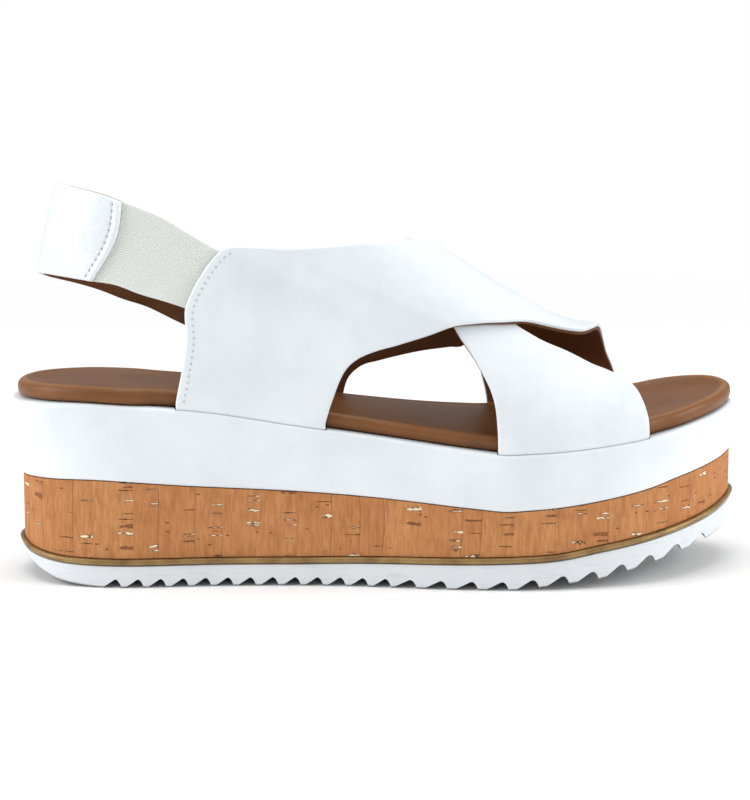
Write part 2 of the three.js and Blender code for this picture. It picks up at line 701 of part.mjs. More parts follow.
const bandLength = (bandLow.getLength() + bandHigh.getLength()) / 2;
const HEEL_START = 0.29; // place of the heel leather's front edge in the band, at its low end
const HEEL_END = 0.66; // where it meets the inner strap
const END_SLANT = 0.0045; // how far that front edge leans forward to its high end
const END_BOW = 0.0165; // how far it bows forward
const ribbonRows = (from, to, steps, offset, columns = 5) =>
  evenly(steps).map((step) => evenly(columns - 1).map((h) => {
    const t = lerp(from(h), to(h), step);
    return bandPoint(t, h, offset(t));
  }));
const ribbon = (from, to, steps, inside, outside) =>
  sheetSolid(ribbonRows(from, to, steps, inside), ribbonRows(from, to, steps, outside));

const always = (value) => () => value;
const heelFront = (h) => HEEL_START - END_SLANT * h - END_BOW * Math.sin(Math.PI * h ** 1.1);
const elasticEnd = (h) => heelFront(h) + ELASTIC_OVERLAP / bandLength;
const halfElastic = ELASTIC_THICKNESS / 2;
const heelIn = halfElastic + GLUE_GAP;

function elasticGore() {
  return ribbon(always(0), elasticEnd, 14, always(-halfElastic), always(halfElastic));
}
function heelLeather() {
  return ribbon(heelFront, always(HEEL_END), 18, always(heelIn), always(heelIn + LEATHER));
}
function heelLining() {
  const from = (h) => heelFront(h) + GLUE_GAP / bandLength;
  return ribbon(from, always(HEEL_END), 18, always(-heelIn - SLING_LINING), always(-heelIn));
}
function heelTape() {
  const from = (h) => elasticEnd(h) + GLUE_GAP / bandLength;
  return ribbon(from, always(HEEL_END), 16, always(-halfElastic), always(halfElastic));
}

// The inner strap closes up from the heel's three layers to two, thin enough to go
// under the inner ankle panel.
const closing = (t) => smoothstep(t, HEEL_END + 0.01, HEEL_END + 0.12);
const innerLeatherOut = (t) => lerp(heelIn + LEATHER, halfElastic, closing(t));
const innerLeatherIn = (t) => innerLeatherOut(t) - LEATHER;
const innerLiningOut = (t) => lerp(-heelIn, halfElastic - LEATHER - GLUE_GAP, closing(t));
const innerLiningIn = (t) => innerLiningOut(t) - SLING_LINING;
const innerStart = always(HEEL_END + GLUE_GAP / bandLength);

function innerLeather() {
  return ribbon(innerStart, always(1), 14, innerLeatherIn, innerLeatherOut);
}
function innerLining() {
  return ribbon(innerStart, always(1), 14, innerLiningIn, innerLiningOut);
}

// ---------- seam threads ----------

function thread(points, steps) {
  const path = new THREE.CatmullRomCurve3(points, false, 'centripetal');
  const section = new THREE.Shape();
  section.absarc(0, 0, THREAD_RADIUS, 0, 2 * Math.PI);
  return new THREE.ExtrudeGeometry(section, { steps, curveSegments: 6, extrudePath: path });
}

const threadOffset = THREAD_RADIUS + GLUE_GAP;

// Stitch line along the part of a strap's rear edge that laps the sling.
function panelThread(strap, from, to) {
  const points = evenly(8, from, to).map((v) => {
    const { x, s } = strap.rear.at(v);
    const lap = strap.front.at(v);
    const width = footSurface(x, s).distanceTo(footSurface(lap.x, lap.s));
    const u = SEAM_INSET / width;
    return onFoot(lerp(x, lap.x, u), lerp(s, lap.s, u), leatherOut + threadOffset + strap.raise(v));
  });
  return thread(points, 16);
}

function heelEndThread() {
  const points = evenly(8, 0.05, 0.95).map((h) => {
    const t = heelFront(h) + SEAM_INSET / bandLength;
    return bandPoint(t, h, heelIn + LEATHER + threadOffset);
  });
  return thread(points, 16);
}

// ---------- materials and assembly ----------

const finish = (color, roughness, metalness = 0) => ({ color, roughness, metalness });
const WHITE_LEATHER = finish(0xf3f4f6, 0.42);
const BROWN_LEATHER = finish(0x8c5f3c, 0.48);
const LINING_LEATHER = finish(0x5f3c25, 0.7);
const THREAD = finish(0xcfcdc6, 0.6);

const pieces = [
  ['outsole', outsole(), finish(0xf1f1ef, 0.55)],
  ['rand', rand(), finish(0xb08d5c, 0.35, 0.4)],
  ['wedge_core', wedgeCore(), finish(0xd6c7ae, 0.9)],
  ['cork_wrap', corkWrap(), finish(0xc98f5f, 0.75)],
  ['platform_core', platformCore(), finish(0xe2dccf, 0.9)],
  ['platform_wrap', platformWrap(), WHITE_LEATHER],
  ['insole_board', insoleBoard(), finish(0x9b876a, 0.85)],
  ['footbed_foam', footbedFoam(), finish(0xe9ddc0, 0.95)],
  ['footbed_cover', footbedCover(), BROWN_LEATHER],
  ['under_strap_leather', strapLeather(underStrap), WHITE_LEATHER],
  ['under_strap_lining', strapLining(underStrap), LINING_LEATHER],
  ['over_strap_leather', strapLeather(overStrap), WHITE_LEATHER],
  ['over_strap_lining', strapLining(overStrap), LINING_LEATHER],
  ['elastic_gore', elasticGore(), finish(0xe4e3d6, 0.85)],
  ['heel_strap_leather', heelLeather(), WHITE_LEATHER],
  ['heel_strap_lining', heelLining(), LINING_LEATHER],
  ['heel_strap_tape', heelTape(), finish(0xe8e6df, 0.8)],
  ['inner_sling_leather', innerLeather(), WHITE_LEATHER],
  ['inner_sling_lining', innerLining(), LINING_LEATHER],
  ['outer_seam_thread', panelThread(overStrap, 0.004, overStrap.rear.corner * 0.96), THREAD],
  ['inner_seam_thread', panelThread(underStrap, lerp(underStrap.rear.corner, 1, 0.05), 0.996), THREAD],
  ['heel_end_thread', heelEndThread(), THREAD],
];

// The whole sandal, moved so that its box stands centred on the origin.
const sandal = new THREE.Group();
for (const [name, geometry, look] of pieces) {
  const mesh = new THREE.Mesh(geometry, new THREE.MeshStandardMaterial(look));
  mesh.name = name;
  sandal.add(mesh);
}
const box = new THREE.Box3().setFromObject(sandal);
const middle = box.getCenter(new THREE.Vector3());
sandal.position.set(-middle.x, -middle.y, -box.min.z);

export default sandal;
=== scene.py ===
import math

import bmesh
import bpy
import numpy as np
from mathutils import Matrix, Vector


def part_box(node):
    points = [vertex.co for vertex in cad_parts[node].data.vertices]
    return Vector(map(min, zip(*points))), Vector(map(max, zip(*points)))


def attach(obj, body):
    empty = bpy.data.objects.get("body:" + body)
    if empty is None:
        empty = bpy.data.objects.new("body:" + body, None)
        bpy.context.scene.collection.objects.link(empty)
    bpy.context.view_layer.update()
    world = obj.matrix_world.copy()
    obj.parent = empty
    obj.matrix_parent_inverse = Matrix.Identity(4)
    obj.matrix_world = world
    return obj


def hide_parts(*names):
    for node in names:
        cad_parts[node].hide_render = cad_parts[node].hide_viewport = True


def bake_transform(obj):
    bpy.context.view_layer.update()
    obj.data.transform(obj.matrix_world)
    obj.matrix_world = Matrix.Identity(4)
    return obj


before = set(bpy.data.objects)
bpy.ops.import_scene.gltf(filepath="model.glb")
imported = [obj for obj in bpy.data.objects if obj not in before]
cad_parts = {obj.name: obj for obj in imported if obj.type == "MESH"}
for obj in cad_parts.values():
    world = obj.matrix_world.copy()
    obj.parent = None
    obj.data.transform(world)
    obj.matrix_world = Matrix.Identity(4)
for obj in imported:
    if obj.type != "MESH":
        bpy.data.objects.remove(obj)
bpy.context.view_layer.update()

mm = 0.001
scene = bpy.context.scene


# The shoe's own sizes in millimetres: x runs from heel to toe, y from the outer to the inner side.
shoe = {
    "outline": [
        (-130, 1), (-126.5, -14), (-115.5, -26), (-95, -32.5), (-55, -32), (-15, -34.5), (30, -43.5),
        (65, -45.5), (97, -37), (120.5, -18.5), (132.7, 2), (135.5, 15), (131, 27.5), (115, 37.5),
        (85, 42.5), (50, 41), (10, 33), (-30, 28.5), (-65, 29.5), (-97, 31.5), (-117.5, 25), (-127, 14),
    ],
    "heelHeight": 66.2, "ballHeight": 49, "toeLift": 10,
    "wrapHeel": 27.5, "wrapBall": 20.8, "wrapToe": 18,
    "heelSpring": 8.5, "toeSpring": 15, "outsoleEdge": 7.9, "randThickness": 2.1, "gap": 0.3,
    "strapInset": 3.2, "bendRadius": 1.8, "bendHeight": 2, "tabLength": 11,
    "lining": 1.0, "leather": 1.4, "slingLining": 0.8, "elastic": 0.9,
}


# A smooth curve through (x, value) pairs.
def through(points):
    at = np.array([p[0] for p in points], float)
    value = np.array([p[1] for p in points], float)
    slope = np.empty(len(at))
    slope[1:-1] = (value[2:] - value[:-2]) / (at[2:] - at[:-2])
    slope[0] = (value[1] - value[0]) / (at[1] - at[0])
    slope[-1] = (value[-1] - value[-2]) / (at[-1] - at[-2])

    def curve(x):
        x = np.clip(np.asarray(x, float), at[0], at[-1])
        i = np.clip(np.searchsorted(at, x) - 1, 0, len(at) - 2)
        step = at[i + 1] - at[i]
        t = (x - at[i]) / step
        ease = t * t * (3 - 2 * t)
        bend = step * (t * (1 - t) ** 2 * slope[i] - t * t * (1 - t) * slope[i + 1])
        return value[i] + (value[i + 1] - value[i]) * ease + bend
    return curve


def smoothstep(x, low, high):
    t = np.clip((np.asarray(x, float) - low) / (high - low), 0, 1)
    return t * t * (3 - 2 * t)


# Shares and rises along the shoe, from heel to toe.
drop = through([
    (-130, 0.06), (-122, 0.01), (-100, 0), (-64, 0.163), (-28, 0.483), (8, 0.756), (43, 1), (52, 1),
    (134, 1)])
lift = through([(-130, 0), (34, 0), (43, 0), (62, 0.08), (80, 0.23), (98, 0.44), (118, 0.78), (134, 1)])
wrapShare = through([(-130, -0.13), (-100, 0), (-64, 0.03), (-29, 0.54), (7, 0.87), (42, 1), (134, 1)])
heelRise = through([
    (-130, 1), (-126, 0.8), (-122, 0.52), (-114.7, 0.2), (-102, 0.01), (-94, 0), (-86, 0), (134, 0)])
toeRise = through([
    (-130, 0), (38, 0), (46, 0), (63, 0.12), (77.4, 0.22), (88, 0.35), (98.5, 0.5), (108, 0.64),
    (118, 0.75), (136, 1)])
edgeRise = through([
    (-134, 5), (-129, 3.3), (-124, 1.6), (-114, 0.4), (-100, 0), (-92, 0), (-38, 0), (-29, 0), (6, 0.8),
    (41, 1.5), (62.5, 2.7), (77, 5), (96, 7.7), (119, 11.7), (138, 16)])
heelLean = through([(-130, 3), (-121, 2.25), (-108, 0.75), (-94, 0), (134, 0)])  # more lean of the wrap's top


def platformTop(x):
    fall = (shoe["heelHeight"] - shoe["ballHeight"]) * drop(x)
    return shoe["heelHeight"] - fall + shoe["toeLift"] * lift(x)


# Where the leather wrap ends and the cork begins.
def corkLine(x):
    toe = (shoe["wrapBall"] - shoe["wrapToe"]) * np.minimum(1, 1.8 * lift(x))
    wrap = shoe["wrapHeel"] + (shoe["wrapBall"] - shoe["wrapHeel"]) * wrapShare(x)
    return platformTop(x) - wrap + toe


def treadLine(x):
    return np.maximum(shoe["heelSpring"] * heelRise(x) + shoe["toeSpring"] * toeRise(x), 0)


def outsoleTop(x):
    return shoe["outsoleEdge"] + edgeRise(x)


def randBottom(x):
    return outsoleTop(x) + shoe["gap"]


def randTop(x):
    return randBottom(x) + shoe["randThickness"]


splineSteps = 40


# A centripetal spline through points, with the same number of steps between each two.
def splineThrough(points, closed=False, steps=splineSteps):
    p = np.array(points, float)
    if closed:
        p = np.vstack([p[-1], p, p[0], p[1]])
    else:
        p = np.vstack([2 * p[0] - p[1], p, 2 * p[-1] - p[-2]])
    line = []
    for i in range(1, len(p) - 2):
        p0, p1, p2, p3 = p[i - 1:i + 3]
        k1 = np.linalg.norm(p1 - p0) ** 0.5
        k2 = k1 + np.linalg.norm(p2 - p1) ** 0.5
        k3 = k2 + np.linalg.norm(p3 - p2) ** 0.5
        t = np.linspace(k1, k2, steps, endpoint=False)[:, None]
        a1 = p0 + (p1 - p0) * t / k1
        a2 = p1 + (p2 - p1) * (t - k1) / (k2 - k1)
        a3 = p2 + (p3 - p2) * (t - k2) / (k3 - k2)
        b1 = a1 + (a2 - a1) * t / k2
        b2 = a2 + (a3 - a2) * (t - k1) / (k3 - k1)
        line.append(b1 + (b2 - b1) * (t - k1) / (k2 - k1))
    if not closed:
        line.append(p[-2][None])
    return np.vstack(line)


def alongLine(line, shares):
    step = np.r_[0, np.cumsum(np.linalg.norm(np.diff(line, axis=0), axis=1))]
    at = np.asarray(shares, float) * step[-1]
    return np.stack([np.interp(at, step, line[:, k]) for k in range(line.shape[1])], -1)


outlineLine = splineThrough(shoe["outline"], closed=True)
halfWay = len(outlineLine) // 2  # the outline starts at the heel's end and its toe end is half way on


# Points round the sole, closer together at heel and toe, and their outward directions.
def planPoints(count):
    half = count // 2
    f = np.arange(half + 1) / half
    spaced = f - 0.35 * np.sin(2 * np.pi * f) / (2 * np.pi)
    outer = alongLine(outlineLine[:halfWay + 1], spaced)
    inner = alongLine(np.vstack([outlineLine[halfWay:], outlineLine[:1]])[::-1], spaced)
    points = np.vstack([outer, inner[1:-1][::-1]])
    tangent = np.roll(points, -1, 0) - np.roll(points, 1, 0)
    tangent /= np.linalg.norm(tangent, axis=1)[:, None]
    return points, np.stack([tangent[:, 1], -tangent[:, 0]], -1)


planCount = 420
plan, planOut = planPoints(planCount)
planStep = np.linalg.norm(np.diff(np.vstack([plan, plan[:1]]), axis=0), axis=1)
planLength = np.r_[0, np.cumsum(planStep)]

inset = plan - planOut * shoe["strapInset"]
outerHalf = inset[:planCount // 2 + 1]
innerHalf = np.vstack([inset[:1], inset[planCount // 2:][::-1]])


def outerSide(x):
    return np.interp(x, outerHalf[:, 0], outerHalf[:, 1])


def innerSide(x):
    return np.interp(x, innerHalf[:, 0], innerHalf[:, 1])


instep = through([
    (-90, 150), (-56, 117), (-30, 94), (0, 73.6), (20, 60.5), (30, 55.1), (38, 50.8), (48, 45.4),
    (59, 38.2), (67, 33.9), (75, 30.6), (81, 29.3), (95, 25), (110, 21)])
ridgeShift = through([(-90, 0), (-30, 0), (20, 2), (60, 4), (110, 4)])


# Where the straps leave the platform's top edge.
def strapBase(x):
    return platformTop(x) + shoe["bendHeight"]


# The foot's skin under the straps: s runs over it from 0, the outer side, to 1, the inner side.
def footSurface(x, s):
    x, s = np.broadcast_arrays(np.asarray(x, float), np.asarray(s, float))
    angle = np.pi * s
    middle = (outerSide(x) + innerSide(x)) / 2
    half = (innerSide(x) - outerSide(x)) / 2
    around = np.sign(np.cos(angle)) * np.abs(np.cos(angle)) ** 0.86
    up = np.maximum(np.sin(angle), 0) ** 0.9
    return np.stack([
        x, middle - half * around + ridgeShift(x) * np.sin(angle), strapBase(x) + instep(x) * up], -1)


def footNormal(x, s):
    x, s = np.broadcast_arrays(np.asarray(x, float), np.asarray(s, float))
    ahead = footSurface(x + 1.2, s) - footSurface(x - 1.2, s)
    inside = np.clip(s, 0.003, 0.997)
    up = footSurface(x, inside + 0.002) - footSurface(x, inside - 0.002)
    normal = np.cross(ahead, up)
    level = np.stack([ahead[..., 1], -ahead[..., 0], np.zeros(x.shape)], -1)
    level *= np.where(s < 0.5, 1, -1)[..., None]
    normal /= np.linalg.norm(normal, axis=-1)[..., None]
    level /= np.linalg.norm(level, axis=-1)[..., None]
    flat = (1 - smoothstep(np.minimum(s, 1 - s), 0.0, 0.012))[..., None]
    mixed = normal * (1 - flat) + level * flat
    return mixed / np.linalg.norm(mixed, axis=-1)[..., None]


def onFoot(x, s, offset):
    return footSurface(x, s) + footNormal(x, s) * np.asarray(offset, float)[..., None]


# A strap's end turned in over the platform: bend goes from 0, upright, to a quarter turn, lying flat.
def onTab(x, side, offset, bend, run):
    s = np.full(np.shape(x), float(side))
    radius = shoe["bendRadius"] + np.asarray(offset, float)
    inward = shoe["bendRadius"] - radius * math.cos(bend) + run
    p = footSurface(x, s) - footNormal(x, s) * inward[..., None]
    share = math.sin(bend)
    p[..., 2] = strapBase(x) * (1 - share) + strapBase(p[..., 0]) * share - radius * share
    return p


def drawnMiddle():
    edge = plan + planOut * heelLean(plan[:, 0])[:, None]
    return (edge.min(0) + edge.max(0)) / 2


wrapLow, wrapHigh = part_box("platform_wrap")
wrapMiddle = np.array([wrapLow.x + wrapHigh.x, wrapLow.y + wrapHigh.y]) / 2
shift = np.array([*(wrapMiddle / mm - drawnMiddle()), 0])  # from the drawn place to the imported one


def placed(points):
    return (np.asarray(points, float) + shift) * mm


def newMesh(name, points, faces, uv=None, sharp=35):
    mesh = bpy.data.meshes.new(name)
    mesh.from_pydata(placed(points).tolist(), [], faces)
    if uv is not None:
        layer = mesh.uv_layers.new(name="UVMap")
        layer.data.foreach_set("uv", np.asarray(uv, np.float32).ravel())
    mesh.validate()
    piece = bpy.data.objects.new(name, mesh)
    scene.collection.objects.link(piece)
    finishMesh(piece, sharp)
    return piece


def finishMesh(piece, sharp=35):
    work = bmesh.new()
    work.from_mesh(piece.data)
    bmesh.ops.remove_doubles(work, verts=work.verts, dist=2e-6)
    bmesh.ops.recalc_face_normals(work, faces=work.faces)
    for face in work.faces:
        face.smooth = True
    limit = math.radians(sharp)
    for edge in work.edges:
        edge.smooth = len(edge.link_faces) != 2 or edge.calc_face_angle(0) < limit
    work.to_mesh(piece.data)
    work.free()
    piece.data.update()


# Walls between rings that follow the sole's outline: a band closes on its first ring, a block is capped.
def ringPiece(name, rings, band=False, sharp=35):
    count = len(plan)
    levels = []
    for offset, height in rings:
        flat = plan + planOut * np.reshape(offset(plan[:, 0]) if callable(offset) else offset, (-1, 1))
        levels.append(np.column_stack([flat, height(flat[:, 0], flat[:, 1])]))
    points = np.vstack(levels)
    faces, uv = [], []
    total = len(rings)
    walls = total if band else total - 1
    for r in range(walls):
        low, high = r * count, ((r + 1) % total) * count
        for i in range(count):
            j = (i + 1) % count
            faces.append((low + i, low + j, high + j, high + i))
            a, b = planLength[i] * mm, planLength[i + 1] * mm
            uv += [(a, points[low + i, 2] * mm), (b, points[low + j, 2] * mm),
                   (b, points[high + j, 2] * mm), (a, points[high + i, 2] * mm)]
    if not band:
        top = (total - 1) * count
        for base, flip in ((0, False), (top, True)):
            for i in range(count // 2):
                a, b = (count - i) % count, count - i - 1
                quad = [base + i, base + a, base + b, base + i + 1]
                if flip:
                    quad = quad[::-1]
                quad = list(dict.fromkeys(quad))
                faces.append(tuple(quad))
                uv += [(points[q, 0] * mm, points[q, 1] * mm) for q in quad]
    return newMesh(name, points, faces, uv, sharp)


def flatRing(height):
    return lambda x, y: height(x)


def raised(height, by):
    return lambda x, y: height(x) + by


def gridFaces(rows, columns, start=0, flip=False):
    faces = []
    for r in range(rows - 1):
        for c in range(columns - 1):
            a = start + r * columns + c
            quad = (a, a + columns, a + columns + 1, a + 1)
            faces.append(quad[::-1] if flip else quad)
    return faces


# A closed sheet between two grids of points.
def sheetPiece(name, inner, outer, uv, sharp=50):
    rows, columns = inner.shape[:2]
    points = np.vstack([outer.reshape(-1, 3), inner.reshape(-1, 3)])
    size = rows * columns
    faces = gridFaces(rows, columns) + gridFaces(rows, columns, size, True)
    for r in range(rows - 1):
        for c in (0, columns - 1):
            a, b = r * columns + c, (r + 1) * columns + c
            quad = (a, b, b + size, a + size)
            faces.append(quad if c else quad[::-1])
    for c in range(columns - 1):
        for r in (0, rows - 1):
            a, b = r * columns + c, r * columns + c + 1
            quad = (a, b, b + size, a + size)
            faces.append(quad[::-1] if r else quad)
    both = np.vstack([uv.reshape(-1, 2), uv.reshape(-1, 2)])
    loops = [both[i] for face in faces for i in face]
    return newMesh(name, points, faces, loops, sharp)


def sheetUv(outer):
    across = np.linalg.norm(np.diff(outer, axis=1), axis=2).cumsum(1)
    across = np.concatenate([np.zeros((len(outer), 1)), across], 1)
    middle = outer[:, outer.shape[1] // 2]
    along = np.r_[0, np.linalg.norm(np.diff(middle, axis=0), axis=1).cumsum()]
    across = across - across[:, -1:] / 2
    return np.stack([np.broadcast_to(along[:, None], across.shape), across], -1) * mm


# Distances across a strap, closer together where its edges are rounded.
def roundedColumns(width, radius, middle):
    edge = radius * (1 - np.cos(np.linspace(0, np.pi / 2, 6)))
    inside = np.linspace(0, 1, middle + 2)[1:-1]
    rows = []
    for w in width:
        rows.append(np.r_[edge, radius + inside * (w - 2 * radius), w - edge[::-1]])
    return np.array(rows)


def edgeDrop(distance, width, radius):
    d = np.clip(np.minimum(distance, width[:, None] - distance), 0, radius)
    return radius - np.sqrt(np.maximum(radius ** 2 - (radius - d) ** 2, 0))


# Short words for building a node tree.
class Nodes:
    def __init__(self, tree):
        self.tree = tree

    def add(self, kind, inputs=(), **settings):
        node = self.tree.nodes.new(kind)
        for name, value in settings.items():
            setattr(node, name, value)
        for name, value in dict(inputs).items():
            self.put(node, name, value)
        return node

    def put(self, node, name, value):
        socket = node.inputs[name]
        if isinstance(value, bpy.types.NodeSocket):
            self.tree.links.new(value, socket)
        elif value is not None:
            socket.default_value = value

    def math(self, operation, *values):
        node = self.add("ShaderNodeMath", operation=operation)
        for i, value in enumerate(values):
            self.put(node, i, value)
        return node.outputs[0]

    def mix(self, share, a, b, blend="MIX"):
        node = self.add("ShaderNodeMix", data_type="RGBA", blend_type=blend)
        self.put(node, 0, share)
        self.put(node, 6, a)
        self.put(node, 7, b)
        return node.outputs[2]

    def between(self, value, low, high, to=(0.0, 1.0), smooth=True):
        node = self.add("ShaderNodeMapRange", interpolation_type="SMOOTHSTEP" if smooth else "LINEAR")
        for i, number in enumerate((value, low, high, to[0], to[1])):
            self.put(node, i, number)
        return node.outputs[0]

    def noise(self, vector, scale, detail=3.0, roughness=0.5, output="Fac"):
        node = self.add("ShaderNodeTexNoise", {
            "Vector": vector, "Scale": scale, "Detail": detail, "Roughness": roughness})
        return node.outputs[output]

    def stretched(self, vector, scale):
        return self.add("ShaderNodeMapping", {"Vector": vector, "Scale": scale}).outputs[0]

    def place(self):
        return self.add("ShaderNodeTexCoord").outputs["Object"]

    def bump(self, height, strength, distance):
        node = self.add("ShaderNodeBump", {"Strength": strength, "Distance": distance, "Height": height})
        return node.outputs[0]

    def named(self, name, kind="FLOAT_VECTOR"):
        node = self.add("GeometryNodeInputNamedAttribute", {"Name": name}, data_type=kind)
        return node.outputs["Attribute"]


# A colour given in screen values from 0 to 255.
def rgb(red, green, blue):
    values = [v / 255 for v in (red, green, blue)]
    return tuple(v / 12.92 if v <= 0.04045 else ((v + 0.055) / 1.055) ** 2.4 for v in values) + (1.0,)


def newGroup(name, inputs, outputs):
    group = bpy.data.node_groups.new(name, "ShaderNodeTree")
    for label, kind, default in inputs:
        socket = group.interface.new_socket(name=label, in_out="INPUT", socket_type=kind)
        if default is not None:
            socket.default_value = default
    for label, kind in outputs:
        group.interface.new_socket(name=label, in_out="OUTPUT", socket_type=kind)
    nodes = Nodes(group)
    start = group.nodes.new("NodeGroupInput")
    end = group.nodes.new("NodeGroupOutput")
    return group, nodes, start.outputs, end


# Fine pores and soft creases, shared by every leather.
def leatherGrain():
    group, n, given, end = newGroup("leather grain", [
        ("Vector", "NodeSocketVector", None), ("Grain scale", "NodeSocketFloat", 1400.0),
        ("Grain depth", "NodeSocketFloat", 0.15), ("Crease scale", "NodeSocketFloat", 60.0),
        ("Crease depth", "NodeSocketFloat", 0.2),
    ], [("Normal", "NodeSocketVector"), ("Creases", "NodeSocketFloat")])
    cells = n.add("ShaderNodeTexVoronoi", {"Vector": given["Vector"], "Scale": given["Grain scale"]},
                  feature="SMOOTH_F1")
    warp = n.noise(given["Vector"], given["Crease scale"], 2, output="Color")
    bent = n.mix(0.006, given["Vector"], warp, "ADD")
    folds = n.noise(bent, given["Crease scale"], 4, 0.55)
    crease = n.between(n.math("ABSOLUTE", n.math("SUBTRACT", folds, 0.5)), 0.0, 0.05, (1.0, 0.0))
    fine = n.add("ShaderNodeBump", {
        "Strength": given["Grain depth"], "Distance": 0.00012, "Height": cells.outputs["Distance"]})
    deep = n.add("ShaderNodeBump", {
        "Strength": given["Crease depth"], "Distance": 0.0005, "Height": n.math("SUBTRACT", folds, crease),
        "Normal": fine.outputs[0]})
    n.put(end, "Normal", deep.outputs[0])
    n.put(end, "Creases", crease)
    return group


grainGroup = leatherGrain()


def newMaterial(name, roughness, **sockets):
    material = bpy.data.materials.new(name)
    material.use_nodes = True
    nodes = Nodes(material.node_tree)
    shader = material.node_tree.nodes["Principled BSDF"]
    nodes.put(shader, "Roughness", roughness)
    for label, value in sockets.items():
        nodes.put(shader, label.replace("_", " "), value)
    return material, nodes, shader


def useGroup(nodes, group, **inputs):
    node = nodes.add("ShaderNodeGroup", node_tree=group)
    for label, value in inputs.items():
        nodes.put(node, label.replace("_", " "), value)
    return node.outputs


def wear(piece, *materials):
    piece.data.materials.clear()
    for material in materials:
        piece.data.materials.append(material)
    return piece


# The crease colour is painted shade, laid into the leather's creases.
leatherLook = {
    "white": (0.80, 0.85, 0.885, 1.0), "shade": (0.74, 0.79, 0.83, 1.0), "creasePaintedShade": rgb(190, 192, 198),
    "rough": 0.4, "coat": 0.06, "coatRough": 0.25, "shine": 0.45, "grainScale": 1500.0, "grainDepth": 0.12,
}


def whiteLeather(name, creaseScale, creaseDepth):
    material, n, shader = newMaterial(
        name, leatherLook["rough"], Coat_Weight=leatherLook["coat"],
        Coat_Roughness=leatherLook["coatRough"], Specular_IOR_Level=leatherLook["shine"])
    place = n.place()
    grain = useGroup(
        n, grainGroup, Vector=place, Grain_scale=leatherLook["grainScale"],
        Grain_depth=leatherLook["grainDepth"], Crease_scale=creaseScale, Crease_depth=creaseDepth)
    tone = n.between(n.noise(place, 35, 3), 0.35, 0.7)
    base = n.mix(tone, leatherLook["white"], leatherLook["shade"])
    # Painted shade: the leather is greyed a little along its creases.
    paintedCreaseShade = n.math("MULTIPLY", grain["Creases"], 0.12 * min(creaseDepth * 5, 1))
    n.put(shader, "Base Color", n.mix(paintedCreaseShade, base, leatherLook["creasePaintedShade"]))
    n.put(shader, "Normal", grain["Normal"])
    return material


strapWhite = whiteLeather("white leather", 45.0, 0.08)
heelWhite = whiteLeather("white heel leather", 110.0, 0.16)
wrapWhite = whiteLeather("white platform leather", 30.0, 0.05)


# A plain finish: two mottled tones and a fine bump.
def flatLook(name, colour, second, roughness, scale, depth):
    material, n, shader = newMaterial(name, roughness)
    place = n.place()
    n.put(shader, "Base Color", n.mix(n.noise(place, scale, 4), colour, second))
    n.put(shader, "Normal", n.bump(n.noise(place, scale * 4, 3), depth, 0.0003))
    return material


liningBrown = flatLook("brown lining", rgb(116, 69, 27), rgb(86, 49, 18), 0.66, 500.0, 0.25)


soleLook = {
    "rubber": (0.76, 0.80, 0.83, 1.0), "rubberShade": (0.68, 0.72, 0.75, 1.0),
    # The void colour is painted shade for the faces turned down, under the sole and in the tread's gaps.
    "voidPaintedShade": rgb(118, 118, 120), "scuff": rgb(170, 168, 164),
    "toothDepth": 3.3, "toothDrop": 1.5, "width": 125.0,
    "rear": {"from": -94.0, "to": 4.0, "pitch": 8.0, "ramp": 5.6},
    "front": {"from": 11.0, "to": 121.0, "pitch": 10.8, "ramp": 7.4},
}


# The gap in front of one tooth, seen from the side: a slope, an undercut arc and a steep wall.
def toothSection(wall, ramp):
    depth, fall = soleLook["toothDepth"], soleLook["toothDrop"]
    start, end = wall - ramp, wall + fall
    low, high = float(treadLine(start)), float(treadLine(end))
    a = np.array([end, high])
    b = np.array([wall + 0.2, float(treadLine(wall)) + 1.35 * depth])
    c = np.array([wall - 0.3 * ramp, float(treadLine(wall)) + 0.8 * depth])
    t = np.linspace(0, 1, 9)[:, None]
    arc = a * (1 - t) ** 2 + b * 2 * t * (1 - t) + c * t * t
    return np.vstack([[start, low - depth], [end, high - depth], arc, [start, low]])


def prismTool(sections, name):
    points, faces = [], []
    half = soleLook["width"] / 2
    for section in sections:
        base, count = len(points), len(section)
        points += [(x, -half, z) for x, z in section] + [(x, half, z) for x, z in section]
        faces.append(tuple(range(base, base + count)))
        faces.append(tuple(range(base + 2 * count - 1, base + count - 1, -1)))
        for i in range(count):
            j = (i + 1) % count
            faces.append((base + i, base + count + i, base + count + j, base + j))
    return newMesh(name, points, faces)


def applyModifiers(piece):
    graph = bpy.context.evaluated_depsgraph_get()
    mesh = bpy.data.meshes.new_from_object(piece.evaluated_get(graph), depsgraph=graph)
    piece.modifiers.clear()
    old = piece.data
    piece.data = mesh
    bpy.data.meshes.remove(old)
    return piece


def cutBy(piece, *tools):
    for tool in tools:
        modifier = piece.modifiers.new("cut", "BOOLEAN")
        modifier.object = tool
        modifier.operation = "DIFFERENCE"
        modifier.solver = "EXACT"
    applyModifiers(piece)
    for tool in tools:
        mesh = tool.data
        bpy.data.objects.remove(tool)
        bpy.data.meshes.remove(mesh)
    finishMesh(piece)
    return piece


def outsolePiece():
    rings = [
        (-1.6, flatRing(treadLine)), (-0.9, raised(treadLine, 0.06)), (-0.4, raised(treadLine, 0.3)),
        (-0.1, raised(treadLine, 0.7)), (0.0, raised(treadLine, 1.3)),
        (0.0, lambda x, y: (treadLine(x) + outsoleTop(x)) / 2),
        (0.0, raised(outsoleTop, -0.5)), (-0.15, raised(outsoleTop, -0.13)),
        (-0.5, flatRing(outsoleTop)), (-4.0, flatRing(outsoleTop)), (-10.4, flatRing(outsoleTop)),
    ]
    piece = ringPiece("Outsole", rings)
    sections = []
    for field in (soleLook["rear"], soleLook["front"]):
        teeth = int((field["to"] - field["from"]) / field["pitch"] + 1e-6)
        for k in range(teeth + 1):
            sections.append(toothSection(field["from"] + k * field["pitch"], field["ramp"]))
    return cutBy(piece, prismTool(sections, "tread gaps"))


